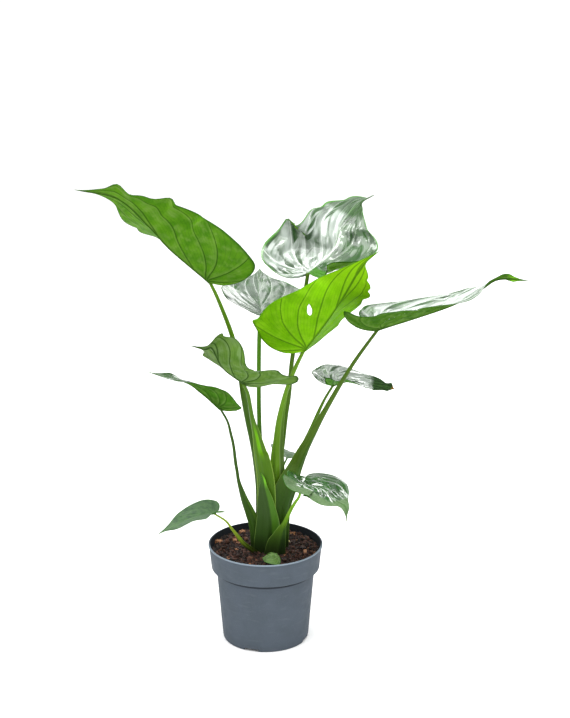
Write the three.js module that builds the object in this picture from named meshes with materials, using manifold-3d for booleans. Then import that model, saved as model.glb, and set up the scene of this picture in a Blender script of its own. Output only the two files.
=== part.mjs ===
// Potted chinese taro: a clump of twelve heart-shaped leaves on sheathing
// stalks, rooted in bark soil in a round grey nursery pot.
// Millimetres, +Z up. The origin is on the ground under the centre of the pot,
// and the plant is seen from the front along +Y.

import * as THREE from 'three';
import { mergeVertices } from 'three/addons/utils/BufferGeometryUtils.js';
import loadManifold from 'manifold-3d';

const solids = await loadManifold();
solids.setup();

// Space between neighbouring pieces
const GAP = 0.35;
// Growths of a blade by which its own stalk's head is trimmed clear of it
const BLADE_SEATS = [0.6, 0.3, 0];

// Pot
const POT_RIM_RADIUS = 95;
const POT_HEIGHT = 165.5;
const POT_LIP_HEIGHT = 3;
const POT_LIP_OVERHANG = 1.2;
const POT_LIP_EDGE = 0.8;
const COLLAR_FOOT_RADIUS = 90;
const COLLAR_FOOT_Z = 125;
const BODY_TOP_RADIUS = 81.8;
const BODY_TOP_Z = 122;
const BODY_FOOT_RADIUS = 71.5;
const FOOT_ROUNDING = 3;
const WALL = 1.8;
const FLOOR_Z = 6.5;
const FLOOR_ROUNDING = 1.5;
const STEP_INSIDE = 1.8;
const FOOT_WIDTH = 4;
const PAD_RADIUS = 12;
const POT_SEGMENTS = 48;
const FOOT_NOTCHES = 4;
const NOTCH_WIDTH = 24;
const NOTCH_DEPTH = 14;
const NOTCH_HEIGHT = 4.4;
const NOTCH_TURN = -109;
const DRAIN_HOLES = 8;
const DRAIN_RADIUS = 5;
const DRAIN_CIRCLE = 46;
const DRAIN_SEGMENTS = 10;

// Soil
const SOIL_TOP_Z = 150;
const SOIL_SEGMENTS = 40;
const SOIL_RINGS = 7;
const SOIL_ROUGHNESS = 1.3;
const CLUMP_HOLE = { x: 7, y: 13, radius: 38.5 };
const SEEDLING_HOLE = { x: 19, y: -49, radius: 7 };
const BARK_CHIPS = 22;
const BARK_CHIP_SIZE = 11;
const BARK_CHIP_SIDES = 5;
const BARK_NEAREST = 44;
const BARK_SPREAD = 36;
const BARK_SEED = 7;

// Rootstock, in the soil under the stalks
const CORM_X = 8;
const CORM_Y = 13;
const CORM_RADIUS = 25;
const CORM_TOP_Z = 141.65;
const CORM_FOOT_Z = 62;
const CORM_SEGMENTS = 20;
const HOLE_SEGMENTS = 24;

// Feet of the stalks
const STALK_FOOT_Z = 142;
const SEEDLING_FOOT_Z = 136;

// Leaf blades
const BLADE_THICKNESS = 1;
const RIB_DEPTH = 1.6;
const RIB_START_ROWS = 5;
const VEIN_RELIEF = 0.5;
const FULL_RELIEF_LENGTH = 150;
const BLADE_ACROSS = [0, 0.07, 0.3, 0.55, 0.8, 1];
const BLADE_SPREAD = 1.4;
const EDGE_SHARPNESS = 4;
const OUTLINE_WIDTH = 0.81;
const MIDRIB_SAMPLES = 120;
const LOBE_REACH = 0.185;

// Half of the heart-shaped outline of a flattened blade, from the stalk to the
// tip: [along, across, where its vein leaves the midrib], in blade lengths
const OUTLINE = [
  [0, 0, 0],
  [-0.075, 0.035, 0.012],
  [-0.15, 0.105, 0.03],
  [-0.185, 0.205, 0.055],
  [-0.15, 0.31, 0.09],
  [-0.04, 0.385, 0.145],
  [0.11, 0.405, 0.23],
  [0.27, 0.365, 0.34],
  [0.43, 0.285, 0.46],
  [0.59, 0.19, 0.6],
  [0.73, 0.105, 0.735],
  [0.85, 0.045, 0.853],
  [0.93, 0.018, 0.931],
  [1, 0, 1],
];

// Stalks
const STALK_SIDES = 10;
const STALK_HEAD_DROP = 0.7;
const SHEATH_FLATTENING = 0.3;

// Each leaf. midrib: points from the stalk to the tip. width: of the flattened
// blade over its length. roll: turn of the blade about its midrib. left and
// right: how far each half folds up from flat. cup: bend of each half across.
// wave, waves and phase: height, number and start of the edge's waves. lobe:
// length of each lobe behind the stalk over the usual, and back: its turn up.
// ripples: [side, place along, height, spread] of single bumps in the edge.
// edges: [side, place along, share, spread] where the edge stands out or in.
// stalk: stations [x, y, z, width, depth] from the blade down to the soil.
// Angles are in degrees. rows: number of rows of facets along the blade.
const LEAVES = [
  {
    name: 'upper_left',
    rows: 20,
    midrib: [[-86, -15, 616], [-147, -5, 666], [-181, -9, 705], [-228, -15, 750], [-297, 2, 761]],
    width: 0.82, roll: [25, 26, 25, 22],
    left: [36, 35, 25, 15], right: [50, 21, -8, 4], cup: [0, -4],
    wave: [0, 2.5], waves: [2.1, 2.3], phase: [0, 11], lobe: [0.9, 0.7], back: [40, 32],
    ripples: [['left', 0.55, 10, 0.035], ['left', 0.62, -3, 0.03], ['left', 0.69, -6, 0.03],
      ['left', 0.755, 8, 0.03]],
    edges: [],
    stalk: [[-86, -15, 616, 5.2, 5], [-73, -12, 586, 6, 5.6], [-52, -6, 525, 7.7, 7],
      [-40, 0, 463, 9.2, 8.4], [-35, 3, 423, 9.6, 8.8], [-28, 6, 379, 9.8, 9],
      [-22, 9, 349, 10.5, 9.2], [-15, 12, 313, 13, 9.6], [-7, 15, 262, 19, 10],
      [-4, 17, 217, 24, 10], [-3, 18, 142, 26, 10]],
  },
  {
    name: 'upper_back',
    rows: 20,
    midrib: [[70, 70, 610], [109, 96, 639], [124, 134, 676], [154, 176, 701], [181, 167, 719]],
    width: 0.94, roll: [14, 19, 13, 6],
    left: [7, 6, 6, 5], right: [0, -13, -7, -1], cup: [46, 65],
    wave: [5, 2], waves: [3.4, 3.1], phase: [-151, 13], lobe: [1.3, 0.05], back: [42, 50],
    ripples: [['left', -0.12, -10, 0.1]], edges: [['left', 0.7, 0.4, 0.07], ['left', 0.86, 1, 0.05]],
    stalk: [[70, 70, 610, 6, 5.6], [60, 64, 549, 6.8, 6.4], [45, 56, 473, 7.2, 6.8],
      [39, 50, 408, 7.6, 7], [34, 46, 375, 8, 7.2], [29, 42, 333, 9, 7.6],
      [24, 37, 305, 13, 8.4], [14, 32, 229, 24, 10], [10, 31, 142, 28, 10]],
  },
  {
    name: 'upper_centre',
    rows: 20,
    midrib: [[62, -22, 505], [96, -15, 548], [124, -13, 590], [153, -26, 644], [181, -10, 666]],
    width: 0.91, roll: [-52, -48, -44, -39],
    left: [36, 22, 9, -5], right: [32, 27, 22, 18], cup: [-13, 13],
    wave: [-1, 0.6], waves: [3.1, 2.7], phase: [-5, 10], lobe: [0.4, 0.7], back: [75, 22],
    ripples: [], edges: [['left', 0.52, -0.14, 0.02], ['left', 0.61, -0.14, 0.02],
      ['left', 0.71, -0.16, 0.02], ['right', -0.05, 0.12, 0.03]],
    stalk: [[62, -22, 505, 5.6, 5.2], [51, -17, 480, 6.6, 6], [42, -12, 456, 7, 6.4],
      [33, -7, 427, 7.6, 6.8], [25, 0, 382, 13, 7.6], [21, 7, 338, 17, 8.4],
      [20, 12, 313, 22, 9], [20, 18, 262, 26, 10], [18, 21, 215, 29, 10],
      [18, 21, 142, 30, 10]],
  },
  {
    name: 'right',
    rows: 20,
    midrib: [[181, -5, 536], [247, 12, 552], [304, 2, 576], [346, 10, 598], [373, 7, 615],
      [420, -1, 615]],
    width: 0.43, roll: [5, 4, 4, 4, 4, -25, -75],
    left: [22, 16, 9, 3], right: [46, 29, 13, 15], cup: [0, 3],
    wave: [-2.2, 0], waves: [2.1, 2.7], phase: [-62, 21], lobe: [0.4, 1.4], back: [50, 45],
    ripples: [], edges: [['left', 0.89, 2, 0.05], ['right', 0.87, 1.6, 0.05]],
    stalk: [[181, -5, 536, 5, 4.8], [149, -3, 489, 6.1, 5.6], [126, -1, 450, 7, 6.4],
      [96, 2, 394, 9.3, 7.6], [79, 4, 360, 12.4, 8], [63, 6, 329, 17.8, 8.6],
      [48, 8, 295, 25.7, 9.4], [39, 9, 273, 34, 10], [31, 10, 250, 36, 10],
      [26, 11, 219, 31, 10], [24, 11, 142, 27, 10]],
  },
  {
    name: 'back',
    rows: 20,
    midrib: [[-6, 95, 534], [-11, 140, 546], [-13, 186, 560], [-11, 246, 574]],
    width: 0.98, roll: [8, 5, 1, -3],
    left: [20, 17, 14, 11], right: [20, 18, 16, 13], cup: [7, 14],
    wave: [1, 1], waves: [2.3, 2.7], phase: [-41, -11], lobe: [0.9, 1], back: [35, 21],
    ripples: [], edges: [],
    stalk: [[-6, 95, 534, 6, 5.6], [-10, 88, 500, 7, 6.4], [-11, 68, 402, 7.3, 6.6],
      [-10, 56, 346, 7.8, 7], [-9, 48, 302, 11, 8], [-5, 41, 228, 17, 8],
      [-4, 38, 142, 20, 8]],
  },
  {
    name: 'middle_left',
    rows: 20,
    midrib: [[-33, -72, 467], [-64, -88, 497], [-80, -102, 532], [-89, -138, 542],
      [-109, -138, 547]],
    width: 1.1, roll: [4, 5, 8, 11],
    left: [39, 17, 44, 70], right: [6, 8, 10, 11], cup: [-11, 0],
    wave: [2.3, 1.6], waves: [2.1, 2.8], phase: [-48, 47], lobe: [2.3, 0.7], back: [26, 17],
    ripples: [], edges: [['left', 0.62, -0.25, 0.03]],
    stalk: [[-33, -72, 466, 5, 4.8], [-26, -60, 444, 6, 5.4], [-20, -44, 400, 7.6, 6.4],
      [-13, -32, 366, 14, 7], [-8, -22, 337, 21, 8], [-5, -14, 322, 25, 9],
      [1, 1, 277, 29, 10], [2, 8, 230, 31, 10], [2, 9, 142, 32, 10]],
  },
  {
    name: 'middle_right',
    rows: 16,
    midrib: [[112, 60, 421], [144, 78, 423], [180, 99, 410], [215, 75, 410]],
    width: 0.8, roll: [4, 12, 21, 31],
    left: [17, 9, 10, 11], right: [38, 18, 5, -8], cup: [4, -19],
    wave: [0.7, 1.5], waves: [2.6, 1.9], phase: [40, 38], lobe: [1.1, 1.3], back: [27, 42],
    ripples: [], edges: [['left', 0.93, 2.5, 0.06], ['right', 0.93, 1.5, 0.06]],
    stalk: [[112, 60, 421, 4.2, 4], [99, 56, 400, 4.6, 4.4], [88, 50, 378, 5.8, 5],
      [75, 43, 349, 6.8, 5.6], [62, 36, 317, 13, 6.4], [50, 31, 287, 18, 7],
      [41, 29, 253, 21, 8], [29, 29, 205, 22, 8], [28, 29, 142, 22, 8]],
  },
  {
    name: 'lower_left',
    rows: 14,
    midrib: [[-72, -35, 412], [-101, -47, 443], [-126, -48, 461], [-183, -58, 481]],
    width: 0.57, roll: [10, 24, -5, -38],
    left: [35, 22, 10, 10], right: [45, 17, 4, 12], cup: [-16, -1],
    wave: [0, -3], waves: [2.1, 2.3], phase: [0, -11], lobe: [0.9, 1], back: [35, 26],
    ripples: [], edges: [],
    stalk: [[-71, -35, 412, 3.6, 3.4], [-60, -30, 389, 4, 3.8], [-55, -25, 366, 4.8, 4.4],
      [-51, -20, 344, 5, 4.6], [-48, -14, 312, 5.6, 5], [-46, -10, 297, 5.6, 5.2],
      [-43, -6, 275, 6.4, 5.6], [-34, -1, 243, 12.4, 6.4], [-24, 4, 215, 17.6, 8],
      [-17, 6, 188, 18.7, 10], [-14, 6, 142, 20, 10]],
  },
  {
    name: 'lower_right',
    rows: 14,
    midrib: [[58, -55, 291], [92, -64, 286], [114, -108, 281], [127, -134, 282],
      [130, -138, 258]],
    width: 0.69, roll: [-12, -6, -2, 2],
    left: [12, 13, 6, -2], right: [-8, -9, -8, -6], cup: [-7, 3],
    wave: [4, -1.5], waves: [1.9, 2.3], phase: [-38, 0], lobe: [1.2, 1.3], back: [16, 49],
    ripples: [], edges: [],
    stalk: [[58, -55, 290, 4, 3.8], [56, -50, 269, 4.4, 4], [49, -42, 254, 5.2, 4.4],
      [42, -34, 238, 5.8, 4.8], [36, -28, 222, 6.5, 5.2], [31, -23, 208, 8.5, 6],
      [27, -19, 198, 15, 7], [22, -16, 182, 25, 8], [18, -14, 169, 32, 9],
      [14, -13, 142, 36, 9]],
  },
  {
    name: 'low_left',
    rows: 14,
    midrib: [[-81, -62, 243], [-108, -74, 243], [-137, -98, 241], [-171, -124, 231]],
    width: 0.59, roll: [1, 3, -4, -11],
    left: [23, 10, 2, 6], right: [22, 14, 10, 6], cup: [1, 14],
    wave: [2.3, 0.6], waves: [2.3, 2.5], phase: [39, -39], lobe: [0.6, 0.7], back: [16, 17],
    ripples: [], edges: [],
    stalk: [[-81, -62, 242, 3.2, 3], [-64, -52, 226, 3.6, 3.4], [-55, -44, 210, 4.2, 3.8],
      [-46, -36, 194, 5.6, 4.4], [-36, -27, 176, 7.6, 5], [-25, -14, 161, 9, 6],
      [-17, -4, 150, 10, 7], [-15, 0, 142, 10, 7]],
  },
  {
    name: 'inner',
    rows: 12,
    midrib: [[36, 80, 286], [30, 108, 286], [32, 133, 280], [38, 152, 274]],
    width: 0.87, roll: [9, 9, 9, 7],
    left: [25, 25, 24, 18], right: [18, 9, 6, 5], cup: [5, -14],
    wave: [0, 0], waves: [2.3, 3.1], phase: [0, 0], lobe: [0.9, 1.1], back: [33, 35],
    ripples: [], edges: [],
    stalk: [[36, 80, 286, 3, 2.8], [28, 72, 269, 3.2, 3], [20, 61, 236, 4.4, 4],
      [14, 50, 186, 6, 5], [12, 45, 142, 7, 6]],
  },
  {
    name: 'seedling',
    rows: 10,
    midrib: [[18, -68, 174], [9, -72, 176], [-5, -54, 161]],
    width: 1.1, roll: [-19, -22, -27, -31],
    left: [-7, -3, 1, 7], right: [-15, -11, 4, 2], cup: [-19, -54],
    wave: [-1.4, 0.5], waves: [2.6, 3], phase: [-18, 20], lobe: [0.6, 0.8], back: [10, 18],
    ripples: [], edges: [],
    stalk: [[18, -68, 174, 3, 2.8], [20, -62, 163, 3.4, 3.2], [20, -53, 151, 4, 3.8],
      [19, -50, 136, 4.4, 4.2]],
  },
];

// The open sheath at the front of the clump, with its pointed tip at the top
const FRONT_SHEATH = [[-8, -9, 293, 2.4, 2], [-4, -8, 282, 7, 4], [-3, -7, 265, 15, 6],
  [0, -5, 242, 26, 8], [3, -4, 216, 34, 11], [4, -3, 195, 40, 13], [3, -3, 165, 44, 13],
  [3, -3, 142, 44, 13]];

// The order in which stalks keep their shape, from the front of the clump to
// its back: each one is cut clear of those before it
const FRONT_TO_BACK = ['lower_right', 'front_sheath', 'low_left', 'seedling', 'lower_left',
  'middle_left', 'right', 'upper_left', 'upper_centre', 'middle_right', 'upper_back', 'back',
  'inner'];

const FINISH = {
  pot: new THREE.MeshStandardMaterial({ color: '#636c79', roughness: 0.55, metalness: 0 }),
  soil: new THREE.MeshStandardMaterial({ color: '#3a241c', roughness: 0.95, metalness: 0 }),
  corm: new THREE.MeshStandardMaterial({ color: '#6b4a32', roughness: 0.8, metalness: 0 }),
  stalk: new THREE.MeshStandardMaterial({ color: '#4f7f22', roughness: 0.45, metalness: 0 }),
  blade: new THREE.MeshStandardMaterial({ color: '#3f7a25', roughness: 0.35, metalness: 0 }),
};

const radians = THREE.MathUtils.degToRad;

/** A repeatable series of numbers between 0 and 1. */
function seeded(seed) {
  let state = seed;
  return () => {
    state = (state * 16807) % 2147483647;
    return state / 2147483647;
  };
}

/** A point of the smooth curve through rows of numbers, at u from 0 to 1. */
function alongRows(rows, u) {
  const last = rows.length - 1;
  const place = Math.min(Math.max(u, 0), 1) * last;
  const i = Math.min(Math.floor(place), last - 1);
  const t = place - i;
  const row = (k) => {
    if (k < 0) return rows[0].map((v, d) => 2 * v - rows[1][d]);
    if (k > last) return rows[last].map((v, d) => 2 * v - rows[last - 1][d]);
    return rows[k];
  };
  const [a, b, c, e] = [row(i - 1), row(i), row(i + 1), row(i + 2)];
  return b.map((v, d) => 0.5 * (2 * v + (c[d] - a[d]) * t
    + (2 * a[d] - 5 * v + 4 * c[d] - e[d]) * t ** 2
    + (3 * v - a[d] - 3 * c[d] + e[d]) * t ** 3));
}

/** A smooth value through a few evenly spaced ones, at s from 0 to 1. */
function alongValues(values, s) {
  return alongRows(values.map((v) => [v]), s)[0];
}

/** The midrib as evenly sampled points with directions and distances. */
function sampleMidrib(points) {
  const places = [];
  for (let i = 0; i < MIDRIB_SAMPLES; i += 1) {
    places.push(new THREE.Vector3(...alongRows(points, i / (MIDRIB_SAMPLES - 1))));
  }
  const distances = [0];
  for (let i = 1; i < MIDRIB_SAMPLES; i += 1) {
    distances.push(distances[i - 1] + places[i].distanceTo(places[i - 1]));
  }
  return { places, distances, length: distances[MIDRIB_SAMPLES - 1] };
}

/** The midrib's point and direction at a share s of its length. */
function onMidrib(midrib, s) {
  const goal = Math.min(Math.max(s, 0), 1) * midrib.length;
  let i = 1;
  while (i < MIDRIB_SAMPLES - 1 && midrib.distances[i] < goal) i += 1;
  const [start, end] = [midrib.places[i - 1], midrib.places[i]];
  const share = (goal - midrib.distances[i - 1]) / (midrib.distances[i] - midrib.distances[i - 1]);
  return {
    point: start.clone().lerp(end, share),
    forward: end.clone().sub(start).normalize(),
  };
}

/** The blade's middle surface on one side (0 left, 1 right) of its midrib. */
function bladePoint(leaf, midrib, side, outline, q) {
  const { length } = midrib;
  const station = outline[2];
  const along = outline[0] < 0 ? outline[0] * leaf.lobe[side] : outline[0];
  const x = station + (along - station) * q ** BLADE_SPREAD;
  const s = Math.min(Math.max(x, 0), 1);
  let reach = 1;
  for (const [where, place, share, spread] of leaf.edges) {
    if ((where === 'left') === (side === 0)) {
      reach += share * q ** EDGE_SHARPNESS * Math.exp(-(((x - place) / spread) ** 2));
    }
  }
  const d = (outline[1] * leaf.width / OUTLINE_WIDTH) * q * length * reach;

  const { point, forward } = onMidrib(midrib, s);
  const level = new THREE.Vector3(0, 0, 1).cross(forward).normalize();
  const raised = forward.clone().cross(level);
  const roll = radians(alongValues(leaf.roll, s));
  const across = level.clone().multiplyScalar(Math.cos(roll))
    .addScaledVector(raised, Math.sin(roll));
  const up = forward.clone().cross(across);

  const fold = radians(alongValues(side === 0 ? leaf.left : leaf.right, s));
  const bend = radians(leaf.cup[side]) / (0.4 * length);
  const flat = Math.abs(bend) < 1e-6;
  const out = flat ? d * Math.cos(fold) : (Math.sin(fold + bend * d) - Math.sin(fold)) / bend;
  let rise = flat ? d * Math.sin(fold) : (Math.cos(fold) - Math.cos(fold + bend * d)) / bend;

  const turns = leaf.waves[side] * x + leaf.phase[side] / 360;
  const fade = Math.min(1, (1 - station) * 4);
  rise += leaf.wave[side] * q ** 2 * Math.sin(2 * Math.PI * turns) * fade;
  for (const [where, place, height, spread] of leaf.ripples) {
    if ((where === 'left') === (side === 0)) {
      rise += height * q ** 2 * Math.exp(-(((x - place) / spread) ** 2));
    }
  }

  const behind = Math.max(-x, 0) * length;
  const turn = radians(leaf.back[side]) * Math.min(behind / (LOBE_REACH * length), 1.5) + 1e-9;
  return point
    .addScaledVector(forward, -behind * Math.sin(turn) / turn)
    .addScaledVector(up, behind * (1 - Math.cos(turn)) / turn + rise)
    .addScaledVector(across, side === 0 ? out : -out);
}

/** The numbered grid of a blade's middle surface: its points, how far a vein or
 * the rib stands out at each, its triangles, and its rim as a list of [point, the
 * point's neighbour on the blade]. */
function bladeSurface(leaf) {
  const midrib = sampleMidrib(leaf.midrib);
  const points = [];
  const veins = [];
  const ribs = [];
  const add = (point, vein, rib) => {
    points.push(point);
    veins.push(vein);
    ribs.push(rib);
    return points.length - 1;
  };
  const { rows } = leaf;
  const columns = BLADE_ACROSS.length - 1;
  const base = add(bladePoint(leaf, midrib, 0, OUTLINE[0], 0), 0, 0);
  const tip = add(bladePoint(leaf, midrib, 0, OUTLINE[OUTLINE.length - 1], 0), 0, 0);
  const spine = [base];
  for (let i = 1; i < rows; i += 1) {
    const outline = alongRows(OUTLINE, i / rows);
    const rib = (1 - outline[2]) * Math.min(1, i / RIB_START_ROWS);
    spine.push(add(bladePoint(leaf, midrib, 0, outline, 0), 0, rib));
  }
  spine.push(tip);

  const grids = [0, 1].map((side) => {
    const grid = [];
    for (let i = 0; i <= rows; i += 1) {
      const row = [spine[i]];
      const outline = alongRows(OUTLINE, i / rows);
      for (let j = 1; j <= columns; j += 1) {
        if (i === 0 || i === rows) {
          row.push(spine[i]);
        } else {
          const q = BLADE_ACROSS[j];
          const crest = (i % 2 ? 1 : -1) * Math.sin(Math.PI * q) * (1 - outline[2]);
          row.push(add(bladePoint(leaf, midrib, side, outline, q), crest, 0));
        }
      }
      grid.push(row);
    }
    return grid;
  });

  const triangles = [];
  grids.forEach((grid, side) => {
    for (let i = 0; i < rows; i += 1) {
      for (let j = 0; j < columns; j += 1) {
        const [a, b, c, d] = [grid[i][j], grid[i + 1][j], grid[i + 1][j + 1], grid[i][j + 1]];
        const pair = (i + j) % 2 ? [[a, b, c], [a, c, d]] : [[a, b, d], [b, c, d]];
        for (const corners of pair) {
          if (new Set(corners).size === 3) {
            triangles.push(side === 0 ? corners : [corners[0], corners[2], corners[1]]);
          }
        }
      }
    }
  });
  const edge = (row, i) => {
    if (i === 0) return [spine[0], spine[1]];
    return i === rows ? [spine[rows], spine[rows - 1]] : [row[columns], row[columns - 1]];
  };
  const rim = [...grids[1].map(edge), ...grids[0].map(edge).reverse().slice(1, -1)];
  return { points, veins, ribs, triangles, rim };
}

/** A closed blade: its middle surface thickened, and grown on all sides. */
function bladeSolid(leaf, growth) {
  const { points, veins, ribs, triangles, rim } = bladeSurface(leaf);
  const grownRim = rim.map(([at, inside]) => points[at].clone()
    .addScaledVector(points[at].clone().sub(points[inside]).normalize(), growth));
  const normals = points.map(() => new THREE.Vector3());
  for (const [a, b, c] of triangles) {
    const face = points[b].clone().sub(points[a]).cross(points[c].clone().sub(points[a]));
    for (const corner of [a, b, c]) normals[corner].add(face);
  }
  rim.forEach(([at], k) => points[at].copy(grownRim[k]));
  const scale = Math.min(1, points[0].distanceTo(points[1]) / FULL_RELIEF_LENGTH);
  const offset = (sign) => points.map((point, i) => {
    const rib = sign < 0 ? ribs[i] * RIB_DEPTH * scale : 0;
    const half = BLADE_THICKNESS / 2 + growth;
    const height = sign * half - rib + veins[i] * VEIN_RELIEF * scale;
    return point.clone().addScaledVector(normals[i].clone().normalize(), height);
  });
  const vertices = [...offset(1), ...offset(-1)];
  const count = points.length;
  const faces = [];
  for (const [a, b, c] of triangles) faces.push([a, b, c], [a + count, c + count, b + count]);
  rim.forEach(([from], k) => {
    const [to] = rim[(k + 1) % rim.length];
    faces.push([from, to + count, to], [from, from + count, to + count]);
  });
  return closedSolid(vertices, faces);
}

/** A solid from its vertices and its triangles, turned to face outwards. */
function closedSolid(vertices, faces) {
  let volume = 0;
  for (const [a, b, c] of faces) {
    volume += vertices[a].dot(vertices[b].clone().cross(vertices[c]));
  }
  const outward = volume > 0 ? faces : faces.map(([a, b, c]) => [a, c, b]);
  return new solids.Manifold(new solids.Mesh({
    numProp: 3,
    vertProperties: new Float32Array(vertices.flatMap((v) => [v.x, v.y, v.z])),
    triVerts: new Uint32Array(outward.flat()),
  }));
}

/** A solid from a closed three.js geometry. */
function solidOf(geometry) {
  const bare = geometry.index ? geometry.toNonIndexed() : geometry.clone();
  bare.deleteAttribute('normal');
  bare.deleteAttribute('uv');
  const merged = mergeVertices(bare, 1e-4);
  const place = merged.attributes.position;
  const vertices = [];
  for (let i = 0; i < place.count; i += 1) {
    vertices.push(new THREE.Vector3().fromBufferAttribute(place, i));
  }
  const faces = [];
  for (let i = 0; i < merged.index.count; i += 3) {
    const face = [0, 1, 2].map((k) => merged.index.getX(i + k));
    if (new Set(face).size === 3) faces.push(face);
  }
  return closedSolid(vertices, faces);
}

/** The largest of the separate bodies that a solid is made of. */
function largestBody(solid) {
  const bodies = solid.decompose();
  return bodies.reduce((best, body) => (body.volume() > best.volume() ? body : best));
}

/** The three.js geometry of a solid. */
function geometryOf(solid) {
  const mesh = solid.getMesh();
  const geometry = new THREE.BufferGeometry();
  geometry.setAttribute('position', new THREE.BufferAttribute(mesh.vertProperties, 3));
  geometry.setIndex(new THREE.BufferAttribute(mesh.triVerts, 1));
  geometry.computeVertexNormals();
  return geometry;
}

/** A solid that turns a profile of [radius, height] points about Z. */
function turned(profile, segments, x = 0, y = 0) {
  const points = profile.map(([radius, z]) => new THREE.Vector2(radius, z));
  const geometry = new THREE.LatheGeometry(points, segments);
  geometry.rotateX(Math.PI / 2);
  geometry.translate(x, y, 0);
  return solidOf(geometry);
}

/** An upright block, turned about Z and pushed out from the pot's axis. */
function block(width, depth, height, turn, distance) {
  const geometry = new THREE.BoxGeometry(depth, width, height);
  geometry.translate(distance, 0, 0);
  geometry.rotateZ(radians(turn));
  return solidOf(geometry);
}

/** The pot: a turned shell with a raised floor, foot notches and drain holes. */
function pot() {
  const lip = POT_RIM_RADIUS - POT_LIP_OVERHANG;
  let shell = turned([
    [0, 0],
    [PAD_RADIUS, 0],
    [PAD_RADIUS, FLOOR_Z - WALL],
    [BODY_FOOT_RADIUS - FOOT_WIDTH, FLOOR_Z - WALL],
    [BODY_FOOT_RADIUS - FOOT_WIDTH, 0],
    [BODY_FOOT_RADIUS - FOOT_ROUNDING, 0],
    [BODY_FOOT_RADIUS - FOOT_ROUNDING * 0.3, FOOT_ROUNDING * 0.3],
    [BODY_FOOT_RADIUS, FOOT_ROUNDING],
    [BODY_TOP_RADIUS, BODY_TOP_Z],
    [COLLAR_FOOT_RADIUS, COLLAR_FOOT_Z],
    [lip, POT_HEIGHT - POT_LIP_HEIGHT],
    [POT_RIM_RADIUS, POT_HEIGHT - POT_LIP_HEIGHT + POT_LIP_EDGE],
    [POT_RIM_RADIUS, POT_HEIGHT - POT_LIP_EDGE],
    [POT_RIM_RADIUS - POT_LIP_EDGE, POT_HEIGHT],
    [lip - WALL, POT_HEIGHT],
    [COLLAR_FOOT_RADIUS - WALL, COLLAR_FOOT_Z + STEP_INSIDE],
    [BODY_TOP_RADIUS - WALL, BODY_TOP_Z + STEP_INSIDE],
    [BODY_FOOT_RADIUS - WALL, FLOOR_Z + FLOOR_ROUNDING],
    [BODY_FOOT_RADIUS - WALL - FLOOR_ROUNDING, FLOOR_Z],
    [0, FLOOR_Z],
  ], POT_SEGMENTS);
  for (let i = 0; i < FOOT_NOTCHES; i += 1) {
    const turn = NOTCH_TURN + (i * 360) / FOOT_NOTCHES;
    shell = shell.subtract(
      block(NOTCH_WIDTH, NOTCH_DEPTH, NOTCH_HEIGHT * 2, turn, BODY_FOOT_RADIUS),
    );
  }
  for (let i = 0; i < DRAIN_HOLES; i += 1) {
    const turn = ((i + 0.5) * 2 * Math.PI) / DRAIN_HOLES;
    shell = shell.subtract(turned(
      [[0, 0], [DRAIN_RADIUS, 0], [DRAIN_RADIUS, 2 * FLOOR_Z], [0, 2 * FLOOR_Z]],
      DRAIN_SEGMENTS,
      DRAIN_CIRCLE * Math.cos(turn),
      DRAIN_CIRCLE * Math.sin(turn),
    ));
  }
  return shell;
}

/** The inner wall's radius at a height, less the space kept clear of it. */
function soilRadius(z) {
  if (z > COLLAR_FOOT_Z) {
    const share = (z - COLLAR_FOOT_Z) / (POT_HEIGHT - COLLAR_FOOT_Z);
    const rim = POT_RIM_RADIUS - POT_LIP_OVERHANG;
    return COLLAR_FOOT_RADIUS + (rim - COLLAR_FOOT_RADIUS) * share - WALL - GAP;
  }
  return z > BODY_TOP_Z ? BODY_TOP_RADIUS - WALL - GAP : BODY_FOOT_RADIUS - WALL - GAP;
}

/** The soil's height at a place on its crumbly top. */
function soilHeight(x, y) {
  const clods = Math.sin(x * 0.21 + 1.3) * Math.cos(y * 0.17 - 0.6)
    + 0.7 * Math.sin(x * 0.47 - y * 0.39) + 0.5 * Math.cos(x * 0.33 + y * 0.71 + 2);
  return SOIL_TOP_Z + SOIL_ROUGHNESS * clods;
}

/** One flake of bark: a low five-sided chip, tilted as it fell. */
function barkChip(random) {
  const size = BARK_CHIP_SIZE * (0.6 + 0.6 * random());
  const sides = [size * 0.38, size * 0.5, size * 0.35, BARK_CHIP_SIDES];
  const chip = new THREE.CylinderGeometry(...sides);
  chip.scale(1, 1, 0.45 + 0.3 * random());
  chip.rotateX(Math.PI / 2 + (random() - 0.5) * 0.9);
  chip.rotateZ(random() * Math.PI * 2);
  const turn = random() * Math.PI * 2;
  const distance = BARK_NEAREST + BARK_SPREAD * random();
  const [x, y] = [distance * Math.cos(turn), distance * Math.sin(turn)];
  chip.translate(x, y, soilHeight(x, y) + size * 0.02);
  return solidOf(chip);
}

/** A plain round hole in the soil, from a height up. */
function soilHole({ x, y, radius }, foot) {
  const top = SOIL_TOP_Z + 20;
  return turned([[0, foot], [radius, foot], [radius, top], [0, top]], HOLE_SEGMENTS, x, y);
}

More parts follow.
